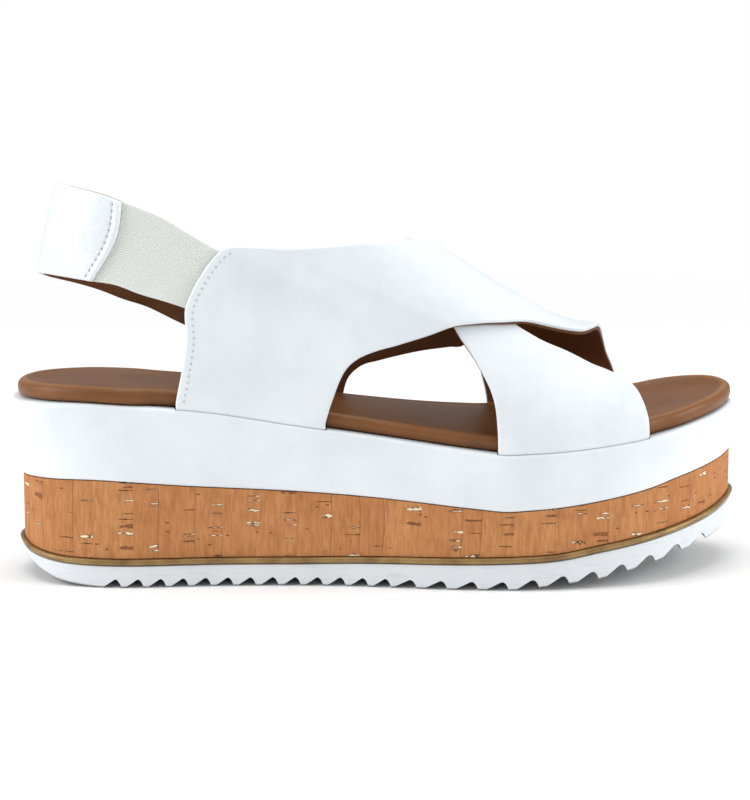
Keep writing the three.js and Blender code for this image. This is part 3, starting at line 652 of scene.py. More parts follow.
def soleRubber():
    material, n, shader = newMaterial("white sole rubber", 0.5, Specular_IOR_Level=0.4)
    place = n.place()
    base = n.mix(n.noise(place, 60, 3), soleLook["rubber"], soleLook["rubberShade"])
    scuff = n.between(n.noise(n.stretched(place, (0.3, 1, 3)), 320, 4), 0.56, 0.7)
    base = n.mix(n.math("MULTIPLY", scuff, 0.18), base, soleLook["scuff"])
    # Painted shade: faces turned down, under the sole and in the tread's gaps, are greyed as if in shadow.
    facing = n.add("ShaderNodeSeparateXYZ", {
        "Vector": n.add("ShaderNodeTexCoord").outputs["Normal"]}).outputs["Z"]
    base = n.mix(n.between(facing, -0.75, -0.15, (0.85, 0.0)), base, soleLook["voidPaintedShade"])
    n.put(shader, "Base Color", base)
    n.put(shader, "Normal", n.bump(n.noise(place, 900, 3), 0.2, 0.0002))
    return material


randLook = {
    "gold": rgb(160, 128, 78), "shade": rgb(118, 91, 52), "proud": 0.6, "radius": 1.05, "inside": -10.4,
}


def randPiece():
    radius = randLook["radius"]
    centre = randLook["proud"] - radius
    rings = [(randLook["inside"], flatRing(randBottom)), (-4.0, flatRing(randBottom))]
    for angle in np.radians(np.linspace(-90, 90, 13)):
        out, up = centre + radius * math.cos(angle), radius + radius * math.sin(angle)
        rings.append((out, raised(randBottom, up)))
    rings += [(-4.0, flatRing(randTop)), (randLook["inside"], flatRing(randTop))]
    return ringPiece("Gold-rand", rings, band=True)


def randSatin():
    material, n, shader = newMaterial("gold rand", 0.34, Metallic=0.35, Specular_IOR_Level=0.5)
    place = n.place()
    base = n.mix(n.between(n.noise(place, 120, 4), 0.3, 0.75), randLook["gold"], randLook["shade"])
    n.put(shader, "Base Color", base)
    ribs = n.add("ShaderNodeTexWave", {
        "Vector": place, "Scale": 700, "Distortion": 0.6, "Detail": 1}, bands_direction="X")
    n.put(shader, "Normal", n.bump(ribs.outputs["Fac"], 0.06, 0.0002))
    return material


corkLook = {
    "base": rgb(184, 122, 74), "light": rgb(206, 149, 98), "dark": rgb(146, 90, 52),
    "deep": rgb(168, 104, 60), "fleck": rgb(72, 45, 30), "chip": rgb(238, 218, 184),
    "setback": 1.0, "thickness": 1.4, "patchWidth": 0.0116,
    "rows": ((0.0026, 3.0, 0.3), (0.001612, 9.0, 0.12)),  # height, seed, share of the row that is marked
}


def coreBottom(x):
    return randTop(x) + shoe["gap"]


def coreTop(x):
    return corkLine(x) - shoe["gap"] / 2


def corkPiece():
    out, inside = -corkLook["setback"], -corkLook["setback"] - corkLook["thickness"]
    rings = [(inside, flatRing(coreBottom)), (out, flatRing(coreBottom))]
    for share in np.linspace(0, 1, 13)[1:-1]:
        rings.append((out, lambda x, y, share=share: coreBottom(x) * (1 - share) + coreTop(x) * share))
    rings += [(out, flatRing(coreTop)), (inside, flatRing(coreTop))]
    return ringPiece("Cork-wrap", rings, band=True)


# Cork veneer in upright patches, each with its own tone, fibre and rows of pores and chips.
def corkSheet():
    material, n, shader = newMaterial("cork", 0.78, Specular_IOR_Level=0.25)
    uv = n.add("ShaderNodeUVMap", uv_map="UVMap").outputs[0]
    parts = n.add("ShaderNodeSeparateXYZ", {"Vector": uv}).outputs

    def chance(column, row, seed):
        key = n.add("ShaderNodeCombineXYZ", {"X": column, "Y": row, "Z": seed}).outputs[0]
        return n.add("ShaderNodeTexWhiteNoise", {"Vector": key}, noise_dimensions="3D").outputs

    sway = n.noise(n.stretched(uv, (0.1, 1, 1)), 60, 2)
    swayed = n.math("MULTIPLY", sway, 0.25)
    across = n.math("ADD", n.math("DIVIDE", parts["X"], corkLook["patchWidth"]), swayed)
    whole = n.math("FLOOR", across)
    margin = n.math("MULTIPLY", chance(whole, 0.0, 1.0)["Value"], 0.45)
    before = n.math("LESS_THAN", n.math("SUBTRACT", across, whole), margin)
    patch = n.math("SUBTRACT", whole, before)
    after = n.math("ADD", patch, 1.0)
    limit = n.math("ADD", after, n.math("MULTIPLY", chance(after, 0.0, 1.0)["Value"], 0.45))
    toLimit = n.math("SUBTRACT", limit, across)  # to the patch's own side seam, in patch widths
    tone = chance(patch, 0.0, 2.0)
    own = n.mix(1.0, uv, tone["Color"], "ADD")
    fibre = n.noise(n.stretched(own, (1, 0.16, 1)), 950, 5, 0.6)
    wave = n.noise(n.stretched(own, (1, 0.3, 1)), 300, 3, 0.55)
    mottle = n.noise(uv, 130, 3)
    base = n.mix(n.between(fibre, 0.3, 0.75), corkLook["base"], corkLook["light"])
    base = n.mix(n.math("MULTIPLY", n.between(wave, 0.5, 0.7), 0.35), base, corkLook["dark"])
    base = n.mix(n.math("MULTIPLY", tone["Value"], 0.35), base, corkLook["deep"])
    base = n.mix(n.math("MULTIPLY", n.between(mottle, 0.5, 0.75), 0.25), base, corkLook["dark"])

    grit = n.noise(n.stretched(uv, (0.6, 1, 1)), 800, 3)
    marks = []
    for height, seed, share in corkLook["rows"]:
        start = n.math("MULTIPLY", chance(patch, 5.0, seed)["Value"], 7.0)
        rows = n.math("ADD", n.math("DIVIDE", parts["Y"], height), start)
        row = n.math("FLOOR", rows)
        pick = chance(patch, row, seed)
        colours = n.add("ShaderNodeSeparateXYZ", {"Vector": pick["Color"]}).outputs
        chosen = n.math("LESS_THAN", pick["Value"], share)
        length = n.math("ADD", n.math("MULTIPLY", colours["X"], 0.8), 0.3)
        left = n.math("SUBTRACT", 1.0, n.math("DIVIDE", toLimit, length))
        taper = n.math("POWER", n.math("MAXIMUM", left, 0.0), 0.16)
        wide = n.math("MULTIPLY", n.math("POWER", colours["Y"], 2.5), 0.3)
        half = n.math("MULTIPLY", n.math("ADD", wide, 0.07), taper)
        rough = n.between(grit, 0.3, 0.68, (0.25, 1.5))
        off = n.math("ABSOLUTE", n.math("SUBTRACT", n.math("SUBTRACT", rows, row), 0.5))
        depth = n.math("SUBTRACT", n.math("MULTIPLY", half, rough), off)
        rim = n.math("MULTIPLY", chosen, n.between(depth, -0.02, 0.03))
        core = n.math("MULTIPLY", chosen, n.between(depth, 0.07, 0.12))
        marks.append((rim, core, colours["Z"]))
    seam = n.math("MULTIPLY", n.between(toLimit, 0.0, 0.03, (1.0, 0.0)), n.between(tone["Value"], 0.45, 0.6))
    base = n.mix(n.math("MULTIPLY", seam, 0.55), base, corkLook["fleck"])
    for rim, core, kind in marks:
        base = n.mix(n.math("MULTIPLY", rim, 0.85), base, corkLook["fleck"])
        pale = n.mix(n.between(kind, 0.55, 0.6), corkLook["chip"], corkLook["dark"])
        base = n.mix(core, base, pale)
    flecks = n.add("ShaderNodeTexVoronoi", {
        "Vector": n.stretched(own, (0.6, 1.5, 1)), "Scale": 460, "Randomness": 1.0})
    picked = n.add("ShaderNodeSeparateXYZ", {"Vector": flecks.outputs["Color"]}).outputs["X"]
    dark = n.math("MULTIPLY", n.between(flecks.outputs["Distance"], 0.14, 0.24, (1.0, 0.0)),
                  n.between(picked, 0.88, 0.9))
    base = n.mix(n.math("MULTIPLY", dark, 0.8), base, corkLook["fleck"])
    n.put(shader, "Base Color", base)
    height = n.math("SUBTRACT", fibre, n.math("ADD", dark, n.math("ADD", seam, marks[0][0])))
    n.put(shader, "Normal", n.bump(height, 0.4, 0.0004))
    return material


print("stage: sole")
outsole = wear(outsolePiece(), soleRubber())
rand = wear(randPiece(), randSatin())
cork = wear(corkPiece(), corkSheet())
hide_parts("outsole")
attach(outsole, "sandal")
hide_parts("rand")
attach(rand, "sandal")
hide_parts("cork_wrap")
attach(cork, "sandal")


wrapLook = {"lip": 11.0, "leather": 1.5, "lean": 0.6, "topRadius": 1.7, "bottomRadius": 0.9}


def blockBottom(x):
    return corkLine(x) + shoe["gap"] / 2


def platformWrapPiece():
    lip, lean, thick = wrapLook["lip"], wrapLook["lean"], wrapLook["leather"]
    rings = [(-lip, flatRing(blockBottom)), (-5.0, flatRing(blockBottom))]
    r = wrapLook["bottomRadius"]
    for angle in np.radians(np.linspace(-90, 0, 6)):
        rings.append((-lean - r + r * math.cos(angle), raised(blockBottom, r + r * math.sin(angle))))
    for share in (0.2, 0.4, 0.6, 0.8):
        rings.append((
            lambda x, share=share: -lean + (lean + heelLean(x)) * share,
            lambda x, y, share=share: (
                (blockBottom(x) + wrapLook["bottomRadius"]) * (1 - share)
                + (platformTop(x) - wrapLook["topRadius"]) * share)))
    r = wrapLook["topRadius"]
    for angle in np.radians(np.linspace(0, 90, 8)):
        rings.append((
            lambda x, angle=angle: heelLean(x) - r + r * math.cos(angle),
            raised(platformTop, -r + r * math.sin(angle))))
    rings += [
        (-6.0, flatRing(platformTop)), (-lip, flatRing(platformTop)), (-lip, raised(platformTop, -thick)),
        (lambda x: heelLean(x) - lean - thick, raised(platformTop, -thick)),
        (-lean - thick, raised(blockBottom, thick)), (-lip, raised(blockBottom, thick)),
    ]
    return ringPiece("Platform-wrap", rings, band=True)


# The footbed's light colour serves only for the painted highlight on its rim's crest.
bedLook = {
    "gap": 0.6, "cover": 1.0, "board": 1.5, "foam": 1.3, "rim": 1.1, "cup": 0.8,
    "brown": rgb(126, 78, 36), "light": rgb(166, 115, 64), "dark": rgb(86, 50, 20), "rough": 0.48,
}
seat = shoe["bendHeight"] - shoe["bendRadius"] + shoe["gap"]
bedSide = -shoe["strapInset"] - bedLook["gap"]
foamBottom = bedLook["board"] + shoe["gap"]
rimHeight = foamBottom + bedLook["foam"] + shoe["gap"] + bedLook["cover"] + bedLook["rim"]
heelCup = through([(-130, 0.4), (-95, 1), (-60, 0.7), (-20, 0.1), (134, 0.1)])
innerRim = through([(-130, -2.2), (-95, -2.5), (-60, -2), (0, -1.3), (40, -0.4), (70, 0.6), (134, 2.2)])
rimDrop = through([(-60, 0), (-20, 0.3), (15, 0.7), (40, 0.5), (70, 0), (134, 0)])
bedReach = through([
    (-134, 4.4), (-124, 3.8), (-112, 3.1), (-88, 2.8), (-81, 0.3), (-78, 0), (98, 0), (104, 0.3),
    (110, 1.6), (122, 2.5), (137, 2.8)])  # how far it reaches out behind and ahead of the straps


def bedHeight(rise, dish=0.0):
    def height(x, y):
        share = max(rise - foamBottom, 0) / (rimHeight - foamBottom)
        rim = innerRim(x) * smoothstep(y, 0, 44) - rimDrop(x)  # the inner side's rim stands differently
        sunk = dish * (bedLook["rim"] + bedLook["cup"] * heelCup(x))
        return platformTop(x) + seat + rise + share * rim * (1 - dish) - sunk
    return height


def footbedPiece():
    inside = bedSide - bedLook["cover"] - 1.4
    rings = [
        (inside, bedHeight(foamBottom)), (inside, bedHeight(0.0)), (bedSide - 1.3, bedHeight(0.0)),
        (bedSide - 0.75, bedHeight(0.3)), (bedSide - 0.3, bedHeight(0.9)), (bedSide, bedHeight(2.0)),
        (bedSide, bedHeight(rimHeight - 2.2)), (bedSide - 0.12, bedHeight(rimHeight - 1.55)),
        (bedSide - 0.42, bedHeight(rimHeight - 0.95)), (bedSide - 0.95, bedHeight(rimHeight - 0.45)),
        (bedSide - 1.6, bedHeight(rimHeight - 0.12)), (bedSide - 2.4, bedHeight(rimHeight)),
        (bedSide - 3.4, bedHeight(rimHeight - 0.12)), (bedSide - 4.3, bedHeight(rimHeight - 0.5, 0.05)),
        (bedSide - 5.2, bedHeight(rimHeight - 0.45, 0.3)), (bedSide - 6.4, bedHeight(rimHeight - 0.3, 0.55)),
        (bedSide - 8.2, bedHeight(rimHeight - 0.1, 0.85)), (bedSide - 10.3, bedHeight(rimHeight, 1.0)),
        (bedSide - 13.0, bedHeight(rimHeight, 1.03)), (bedSide - 17.0, bedHeight(rimHeight, 1.06)),
    ]
    rings = [(lambda x, out=out: out + bedReach(x), height) for out, height in rings]
    return ringPiece("Footbed", rings, sharp=60)


def footbedLeather():
    material, n, shader = newMaterial(
        "footbed leather", bedLook["rough"], Coat_Weight=0.05, Coat_Roughness=0.3, Specular_IOR_Level=0.35)
    place = n.place()
    grain = useGroup(n, grainGroup, Vector=place, Grain_scale=1300.0, Grain_depth=0.22,
                     Crease_scale=55.0, Crease_depth=0.1)
    rim = n.add("ShaderNodeAttribute", attribute_name="rim", attribute_type="GEOMETRY").outputs["Fac"]
    mottle = n.between(n.noise(place, 45, 4, 0.6), 0.3, 0.72)
    base = n.mix(n.math("MULTIPLY", mottle, 0.45), bedLook["brown"], bedLook["dark"])
    # Painted highlight: the rim's crest is coloured lighter.
    base = n.mix(n.math("MULTIPLY", rim, 0.6), base, bedLook["light"])
    speck = n.between(n.noise(place, 1500, 2), 0.55, 0.7)
    base = n.mix(n.math("MULTIPLY", speck, 0.2), base, bedLook["dark"])
    n.put(shader, "Base Color", base)
    n.put(shader, "Normal", grain["Normal"])
    return material


# Marks the rounded rim's crest, which gets a painted highlight.
def paintRimHighlight(piece):
    count = len(plan)
    total = len(piece.data.vertices) // count
    attribute = piece.data.attributes.new("rim", "FLOAT", "POINT")
    values = np.zeros(len(piece.data.vertices), np.float32)
    for r in range(total):
        values[r * count:(r + 1) * count] = math.exp(-((r - 10.8) / 1.3) ** 2)
    attribute.data.foreach_set("value", values)


print("stage: platform")
footbed = wear(footbedPiece(), footbedLeather())
paintRimHighlight(footbed)
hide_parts("footbed_cover", "footbed_foam")
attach(footbed, "sandal")


# A strap's edge over the foot as one curve from the outer side to the inner, through (x, s) points;
# two runs meet in a corner.
def strapEdge(*runs):
    total = 0.0
    measured = []
    for points in runs:
        knots = []
        for i, point in enumerate(points):
            if i:
                total += np.linalg.norm(footSurface(*point) - footSurface(*points[i - 1]))
            knots.append((total, *point))
        measured.append(knots)
    curves = []
    for knots in measured:
        curves.append((knots[-1][0] / total, through([(k[0] / total, k[1]) for k in knots]),
                       through([(k[0] / total, k[2]) for k in knots])))

    def at(v):
        v = np.asarray(v, float)
        x, s = curves[-1][1](v), curves[-1][2](v)
        if len(curves) > 1:
            first = v <= curves[0][0] + 1e-9
            x = np.where(first, curves[0][1](v), x)
            s = np.where(first, curves[0][2](v), s)
        return x, s
    return at, curves[0][0]


straps = {
    "over": {
        "rear": strapEdge(
            [(-72.6, 0), (-70.6, 0.019), (-68.7, 0.047), (-69, 0.071), (-66.8, 0.088), (-64.3, 0.103),
             (-60.8, 0.122), (-56.4, 0.143), (-53.8, 0.152)],
            [(-53.8, 0.152), (-35.7, 0.191), (-21.8, 0.231), (-8.1, 0.281), (2.8, 0.337), (13.5, 0.43),
             (22.5, 0.575), (32.5, 0.74), (41, 0.86), (45, 0.95), (46, 1)]),
        "front": strapEdge(
            [(-19.4, 0), (-16.6, 0.028), (-12.7, 0.064), (-8.4, 0.086), (-1.3, 0.11), (6.4, 0.135),
             (16.4, 0.176), (25, 0.218), (32.4, 0.249), (43.1, 0.297), (54.6, 0.352), (62, 0.382),
             (68.5, 0.405), (74, 0.43), (79, 0.47), (83, 0.54), (86.3, 0.635), (89, 0.73), (91.3, 0.807),
             (93.8, 0.863), (95.1, 0.904), (96.5, 1)]),
        "raise": lambda v: 3.3 * smoothstep(v, 0.25, 0.34) * (1 - smoothstep(v, 0.9, 1)),
    },
    "under": {
        "rear": strapEdge(
            [(41, 0), (40.9, 0.022), (40, 0.077), (38.4, 0.111), (35.5, 0.144), (31.8, 0.179), (26.5, 0.22),
             (21, 0.3), (17, 0.41), (13.5, 0.53), (8.5, 0.64), (0.6, 0.702), (-10.1, 0.753), (-21.5, 0.794),
             (-32.8, 0.826), (-44, 0.852), (-55.5, 0.876)],
            [(-55.5, 0.876), (-62, 0.901), (-65.6, 0.926), (-67.5, 0.953), (-69.1, 0.979), (-70.2, 1)]),
        "front": strapEdge(
            [(94.9, 0), (94.7, 0.046), (93.4, 0.106), (91.6, 0.159), (89.5, 0.192), (86.8, 0.215),
             (79.2, 0.257), (67.5, 0.307), (55.5, 0.313), (48.5, 0.327), (43.5, 0.41), (42, 0.56),
             (40, 0.7), (36.4, 0.851), (30.6, 0.871), (22.1, 0.893), (11.3, 0.921), (3.1, 0.94),
             (-1.9, 0.95), (-5.9, 0.963), (-8.6, 0.977), (-10.5, 1)]),
        "raise": lambda v: 0 * np.asarray(v, float),
    },
}
leatherIn = shoe["lining"] + shoe["gap"]
leatherOut = leatherIn + shoe["leather"]


# How far the straps' linings lie back behind the ankle, to make room for the sling's ends.
def slingDip(x, s):
    under = np.where(s < 0.5, 1.6 * shoe["gap"] + shoe["elastic"],
                     2 * shoe["gap"] + shoe["leather"] + shoe["slingLining"])
    return under * (1 - smoothstep(x, -42, -30)) * smoothstep(np.minimum(s, 1 - s), 0.002, 0.04)


# Rows along a strap: close together at its ends, and one exactly on its rear edge's corner.
def strapShares(corner):
    ends = np.array([0, 0.004, 0.009, 0.015, 0.022, 0.03])
    short, long = max(int(min(corner, 1 - corner) * 150), 12), 110
    before, after = (short, long) if corner < 0.5 else (long, short)
    early = np.linspace(ends[-1], corner, before)
    late = np.linspace(corner, 1 - ends[-1], after)
    return np.unique(np.round(np.r_[ends, early, late, 1 - ends], 7))


def strapSpot(strap, u, v):
    (rear, _), (front, _) = strap["rear"], strap["front"]
    rx, rs = rear(v)
    fx, fs = front(v)
    return rx + (fx - rx) * u, rs + (fs - rs) * u


def strapGrid(strap, inside, outside, trim=0.0, roundOut=0.0, roundIn=0.0, middle=34):
    v = strapShares(strap["rear"][1])
    fine = np.linspace(0, 1, 25)
    x, s = strapSpot(strap, fine[None, :], v[:, None])
    width = np.linalg.norm(np.diff(footSurface(x, s), axis=1), axis=2).sum(1)
    radius = max(roundOut, 0.4)
    across = roundedColumns(width * (1 - 2 * trim), radius, middle)
    u = trim + across / width[:, None]
    x, s = strapSpot(strap, u, v[:, None])
    ownWidth = width * (1 - 2 * trim)
    grids = []
    bends = np.linspace(math.pi / 2, 0, 8)[:-1]
    for face, amount, sign in ((inside, roundIn, 1), (outside, roundOut, -1)):
        fall = edgeDrop(across, ownWidth, amount) * sign if amount else np.zeros(across.shape)
        offset = face(x, s) + fall + strap["raise"](v)[:, None]
        body = onFoot(x, s, offset)
        ends = []
        for row, side in ((0, 0), (-1, 1)):
            level = offset[row]
            tab = [onTab(x[row], side, level, math.pi / 2, shoe["tabLength"]),
                   onTab(x[row], side, level, math.pi / 2, shoe["tabLength"] / 2)]
            tab += [onTab(x[row], side, level, bend, 0) for bend in bends]
            ends.append(np.array(tab))
        grids.append(np.concatenate([ends[0], body, ends[1][::-1]]))
    return grids


def strapLeather(name, strap):
    inner, outer = strapGrid(
        strap, lambda x, s: leatherIn + 0 * x, lambda x, s: leatherOut + 0 * x, roundOut=0.9, roundIn=0.25)
    return sheetPiece(name, inner, outer, sheetUv(outer))


def strapLining(name, strap):
    inner, outer = strapGrid(
        strap, lambda x, s: -slingDip(x, s), lambda x, s: shoe["lining"] - slingDip(x, s),
        trim=0.004, roundOut=0.15, roundIn=0.4, middle=24)
    return sheetPiece(name, inner, outer, sheetUv(outer))


# The room that a strap's turned-in end takes out of the platform's wrap.
def tabTool(strap, side, name):
    gap = shoe["gap"]
    rear = float(strapSpot(strap, 0.0, float(side))[0]) - gap
    front = float(strapSpot(strap, 1.0, float(side))[0]) + gap
    level = np.linspace(rear, front, 40)
    bends = np.linspace(math.pi / 2, 0, 9)
    grids = []
    for offset in (-gap, leatherOut + gap):
        offsets = np.full(level.shape, offset)
        rows = [onTab(level, side, offsets, math.pi / 2, shoe["tabLength"] + gap)]
        rows += [onTab(level, side, offsets, bend, 0) for bend in bends]
        rows.append(rows[-1] + [0, 0, shoe["bendHeight"] + 1])
        grids.append(np.array(rows))
    return sheetPiece(name, grids[0], grids[1], sheetUv(grids[1]))


print("stage: straps")
wrap = platformWrapPiece()
tools = [tabTool(strap, side, "room for strap end") for strap in straps.values() for side in (0, 1)]
wear(cutBy(wrap, *tools), wrapWhite)
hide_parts("platform_wrap")
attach(wrap, "sandal")

for key, label in (("under", "Under-strap"), ("over", "Over-strap")):
    leather = wear(strapLeather(label + "-leather", straps[key]), strapWhite)
    lining = wear(strapLining(label + "-lining", straps[key]), liningBrown)
    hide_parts(key + "_strap_leather")
    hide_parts(key + "_strap_lining")
    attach(leather, "sandal")
    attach(lining, "sandal")


slingLook = {
    "heelStart": 0.29, "heelEnd": 0.66, "slant": 0.0045, "bow": 0.0165, "overlap": 8.0, "crown": 0.2,
    "back": 8,  # the edge points' number at the back of the heel
    "elasticSplit": 0.2, "innerSplit": 0.8, "ribs": 36.0, "ribDepth": 0.12,
    "lipWidth": 2.6, "lipRise": 0.45,
    # The darker web colour is painted shade for the grooves between ribs and threads.
    "web": rgb(234, 238, 232), "webPaintedShade": rgb(194, 198, 191),
    "webTint": rgb(215, 219, 212),
}
bandMiddle = shoe["lining"] - shoe["elastic"] / 2


def onBand(x, s):
    return tuple(onFoot(float(x), float(s), bandMiddle))


def free(x, y, height):
    return (x, y, shoe["heelHeight"] + height)


bandLow = splineThrough([
    onBand(-58, 0.0698), onBand(-68.8, 0.0728), onBand(-76.3, 0.0728),
    free(-84.7, -28.2, 38.8), free(-93.1, -27, 41.9), free(-102.3, -24, 43.1), free(-112.6, -16.5, 44),
    free(-119.3, -8, 44), free(-121, 0, 43.1), free(-119.8, 7, 41.4), free(-116, 13.5, 39.6),
    free(-109.3, 19, 37.2), free(-101.3, 22.8, 34.2), free(-93, 25, 30.6),
    onBand(-83.8, 0.952), onBand(-69.5, 0.959), onBand(-58, 0.962)])
bandHigh = splineThrough([
    onBand(-46, 0.146), onBand(-56, 0.1425), onBand(-67, 0.1425),
    free(-76, -27, 65.2), free(-89.3, -26, 70.7), free(-98.3, -23, 73.8), free(-105, -18, 75.2),
    free(-111.3, -9, 76), free(-113.4, 0, 75.6), free(-112, 8, 74.2), free(-106.5, 15.5, 71.5),
    free(-98, 21, 67.7), free(-88, 24.5, 63.1), free(-78, 26, 58.5),
    onBand(-67, 0.877), onBand(-58, 0.884), onBand(-47, 0.891)])


def lineLengths(line):
    return np.r_[0, np.linalg.norm(np.diff(line, axis=0), axis=1).cumsum()]


# The sling as one band: t runs from the outer ankle round the heel to the inner, h from low to high.
def bandSurface(t, h):
    t, h = np.broadcast_arrays(np.asarray(t, float), np.asarray(h, float))
    edges = []
    for line in (bandLow, bandHigh):
        run = lineLengths(line)
        back = run[slingLook["back"] * splineSteps] / run[-1]
        share = np.where(t < 0.5, 2 * t * back, back + (2 * t - 1) * (1 - back))
        edges.append(alongLine(line, share))
    return edges[0] * (1 - h[..., None]) + edges[1] * h[..., None]


def bandPoint(t, h, offset):
    t, h = np.broadcast_arrays(np.asarray(t, float), np.asarray(h, float))
    ahead = bandSurface(np.minimum(t + 0.006, 1), h) - bandSurface(np.maximum(t - 0.006, 0), h)
    up = bandSurface(t, 1.0) - bandSurface(t, 0.0)
    out = np.cross(up, ahead)
    out /= np.linalg.norm(out, axis=-1)[..., None]
    crown = 4 * slingLook["crown"] * h * (1 - h)
    return bandSurface(t, h) + out * (offset + crown)[..., None]


bandLength = (lineLengths(bandLow)[-1] + lineLengths(bandHigh)[-1]) / 2


def heelFront(h):
    h = np.asarray(h, float)
    return slingLook["heelStart"] - slingLook["slant"] * h - slingLook["bow"] * np.sin(np.pi * h ** 1.1)


def bandGrid(start, end, steps, inside, outside, roundOut=0.0, roundIn=0.0, middle=20, early=1.0):
    share = np.linspace(0, 1, steps + 1) ** early
    radius = max(roundOut, 0.3)
    t0 = (start(np.array(0.5)) + (end(np.array(0.5)) - start(np.array(0.5))) * share)
    width = np.linalg.norm(bandSurface(t0, 1.0) - bandSurface(t0, 0.0), axis=1)
    across = roundedColumns(width, radius, middle)
    h = across / width[:, None]
    t = start(h) + (end(h) - start(h)) * share[:, None]
    grids = []
    for face, amount, sign in ((inside, roundIn, 1), (outside, roundOut, -1)):
        fall = edgeDrop(across, width, amount) * sign if amount else np.zeros(across.shape)
        grids.append(bandPoint(t, h, face(t, h) + fall))
    return grids


def level(value):
    return lambda t, h=0: value + 0 * np.asarray(t, float)


def bandPiece(name, start, end, steps, inside, outside, **edges):
    inner, outer = bandGrid(start, end, steps, inside, outside, **edges)
    return sheetPiece(name, inner, outer, sheetUv(outer))


halfElastic = shoe["elastic"] / 2
heelIn = halfElastic + shoe["gap"]
heelOut = heelIn + shoe["leather"]


# The heel leather's outside: a folded lip at its front edge, then the groove of its seam.
def heelFace(t, h):
    fromEdge = (t - heelFront(h)) * bandLength
    width, rise = slingLook["lipWidth"], slingLook["lipRise"]
    across = np.clip(fromEdge / width, 0, 1)
    fold = rise * np.sin(np.pi * across ** 0.6)
    rounding = 0.7 * (1 - np.sqrt(np.clip(1 - (1 - np.clip(fromEdge / 0.9, 0, 1)) ** 2, 0, 1)))
    groove = 0.14 * np.exp(-((fromEdge - width - 0.3) / 0.35) ** 2)
    return heelOut + fold - rounding - groove


# How far the inner sling strap has closed on the elastic's own depth, as it nears the ankle.
def closing(t):
    return smoothstep(t, slingLook["heelEnd"] + 0.01, slingLook["heelEnd"] + 0.12)


def innerOut(t, h=0):
    return heelOut + (halfElastic - heelOut) * closing(t)


def innerIn(t, h=0):
    return innerOut(t) - shoe["leather"]


def innerLiningOut(t, h=0):
    return -heelIn + (halfElastic - shoe["leather"] - shoe["gap"] + heelIn) * closing(t)


def innerLiningIn(t, h=0):
    return innerLiningOut(t) - shoe["slingLining"]


def geometryGroup(name, inputs):
    group = bpy.data.node_groups.new(name, "GeometryNodeTree")
    group.interface.new_socket(name="Geometry", in_out="INPUT", socket_type="NodeSocketGeometry")
    for label, kind, default in inputs:
        socket = group.interface.new_socket(name=label, in_out="INPUT", socket_type=kind)
        if default is not None:
            socket.default_value = default
    group.interface.new_socket(name="Geometry", in_out="OUTPUT", socket_type="NodeSocketGeometry")
    nodes = Nodes(group)
    start = group.nodes.new("NodeGroupInput")
    end = group.nodes.new("NodeGroupOutput")
    return group, nodes, start.outputs, end


def runTree(piece, group, values):
    modifier = piece.modifiers.new(group.name, "NODES")
    modifier.node_group = group
    sockets = {s.name: s.identifier for s in group.interface.items_tree
               if s.item_type == "SOCKET" and s.in_out == "INPUT"}
    for label, value in values.items():
        modifier[sockets[label]] = value
    return applyModifiers(piece)


def ribTree():
    group, n, given, end = geometryGroup("elastic ribs", [
        ("Ribs", "NodeSocketFloat", 28.0), ("Depth", "NodeSocketFloat", 0.0002),
        ("Material", "NodeSocketMaterial", None)])
    across = n.named("across", "FLOAT")
    turn = n.math("MULTIPLY", n.math("MULTIPLY", across, given["Ribs"]), 2 * math.pi)
    wave = n.math("MULTIPLY", n.math("SUBTRACT", n.math("COSINE", turn), 1.0), 0.5)
    toEdge = n.math("SUBTRACT", 0.5, n.math("ABSOLUTE", n.math("SUBTRACT", across, 0.5)))
    inside = n.between(toEdge, 0.004, 0.02)
    amount = n.math("MULTIPLY", n.math("MULTIPLY", wave, given["Depth"]), inside)
    move = n.add("ShaderNodeVectorMath", {0: n.named("away"), "Scale": amount}, operation="SCALE").outputs[0]
    moved = n.add("GeometryNodeSetPosition", {"Geometry": given["Geometry"], "Offset": move}).outputs[0]
    real = n.add("GeometryNodeRealizeInstances", {"Geometry": moved}).outputs[0]
    n.put(end, "Geometry", n.add("GeometryNodeSetMaterial", {
        "Geometry": real, "Material": given["Material"]}).outputs[0])
    return group


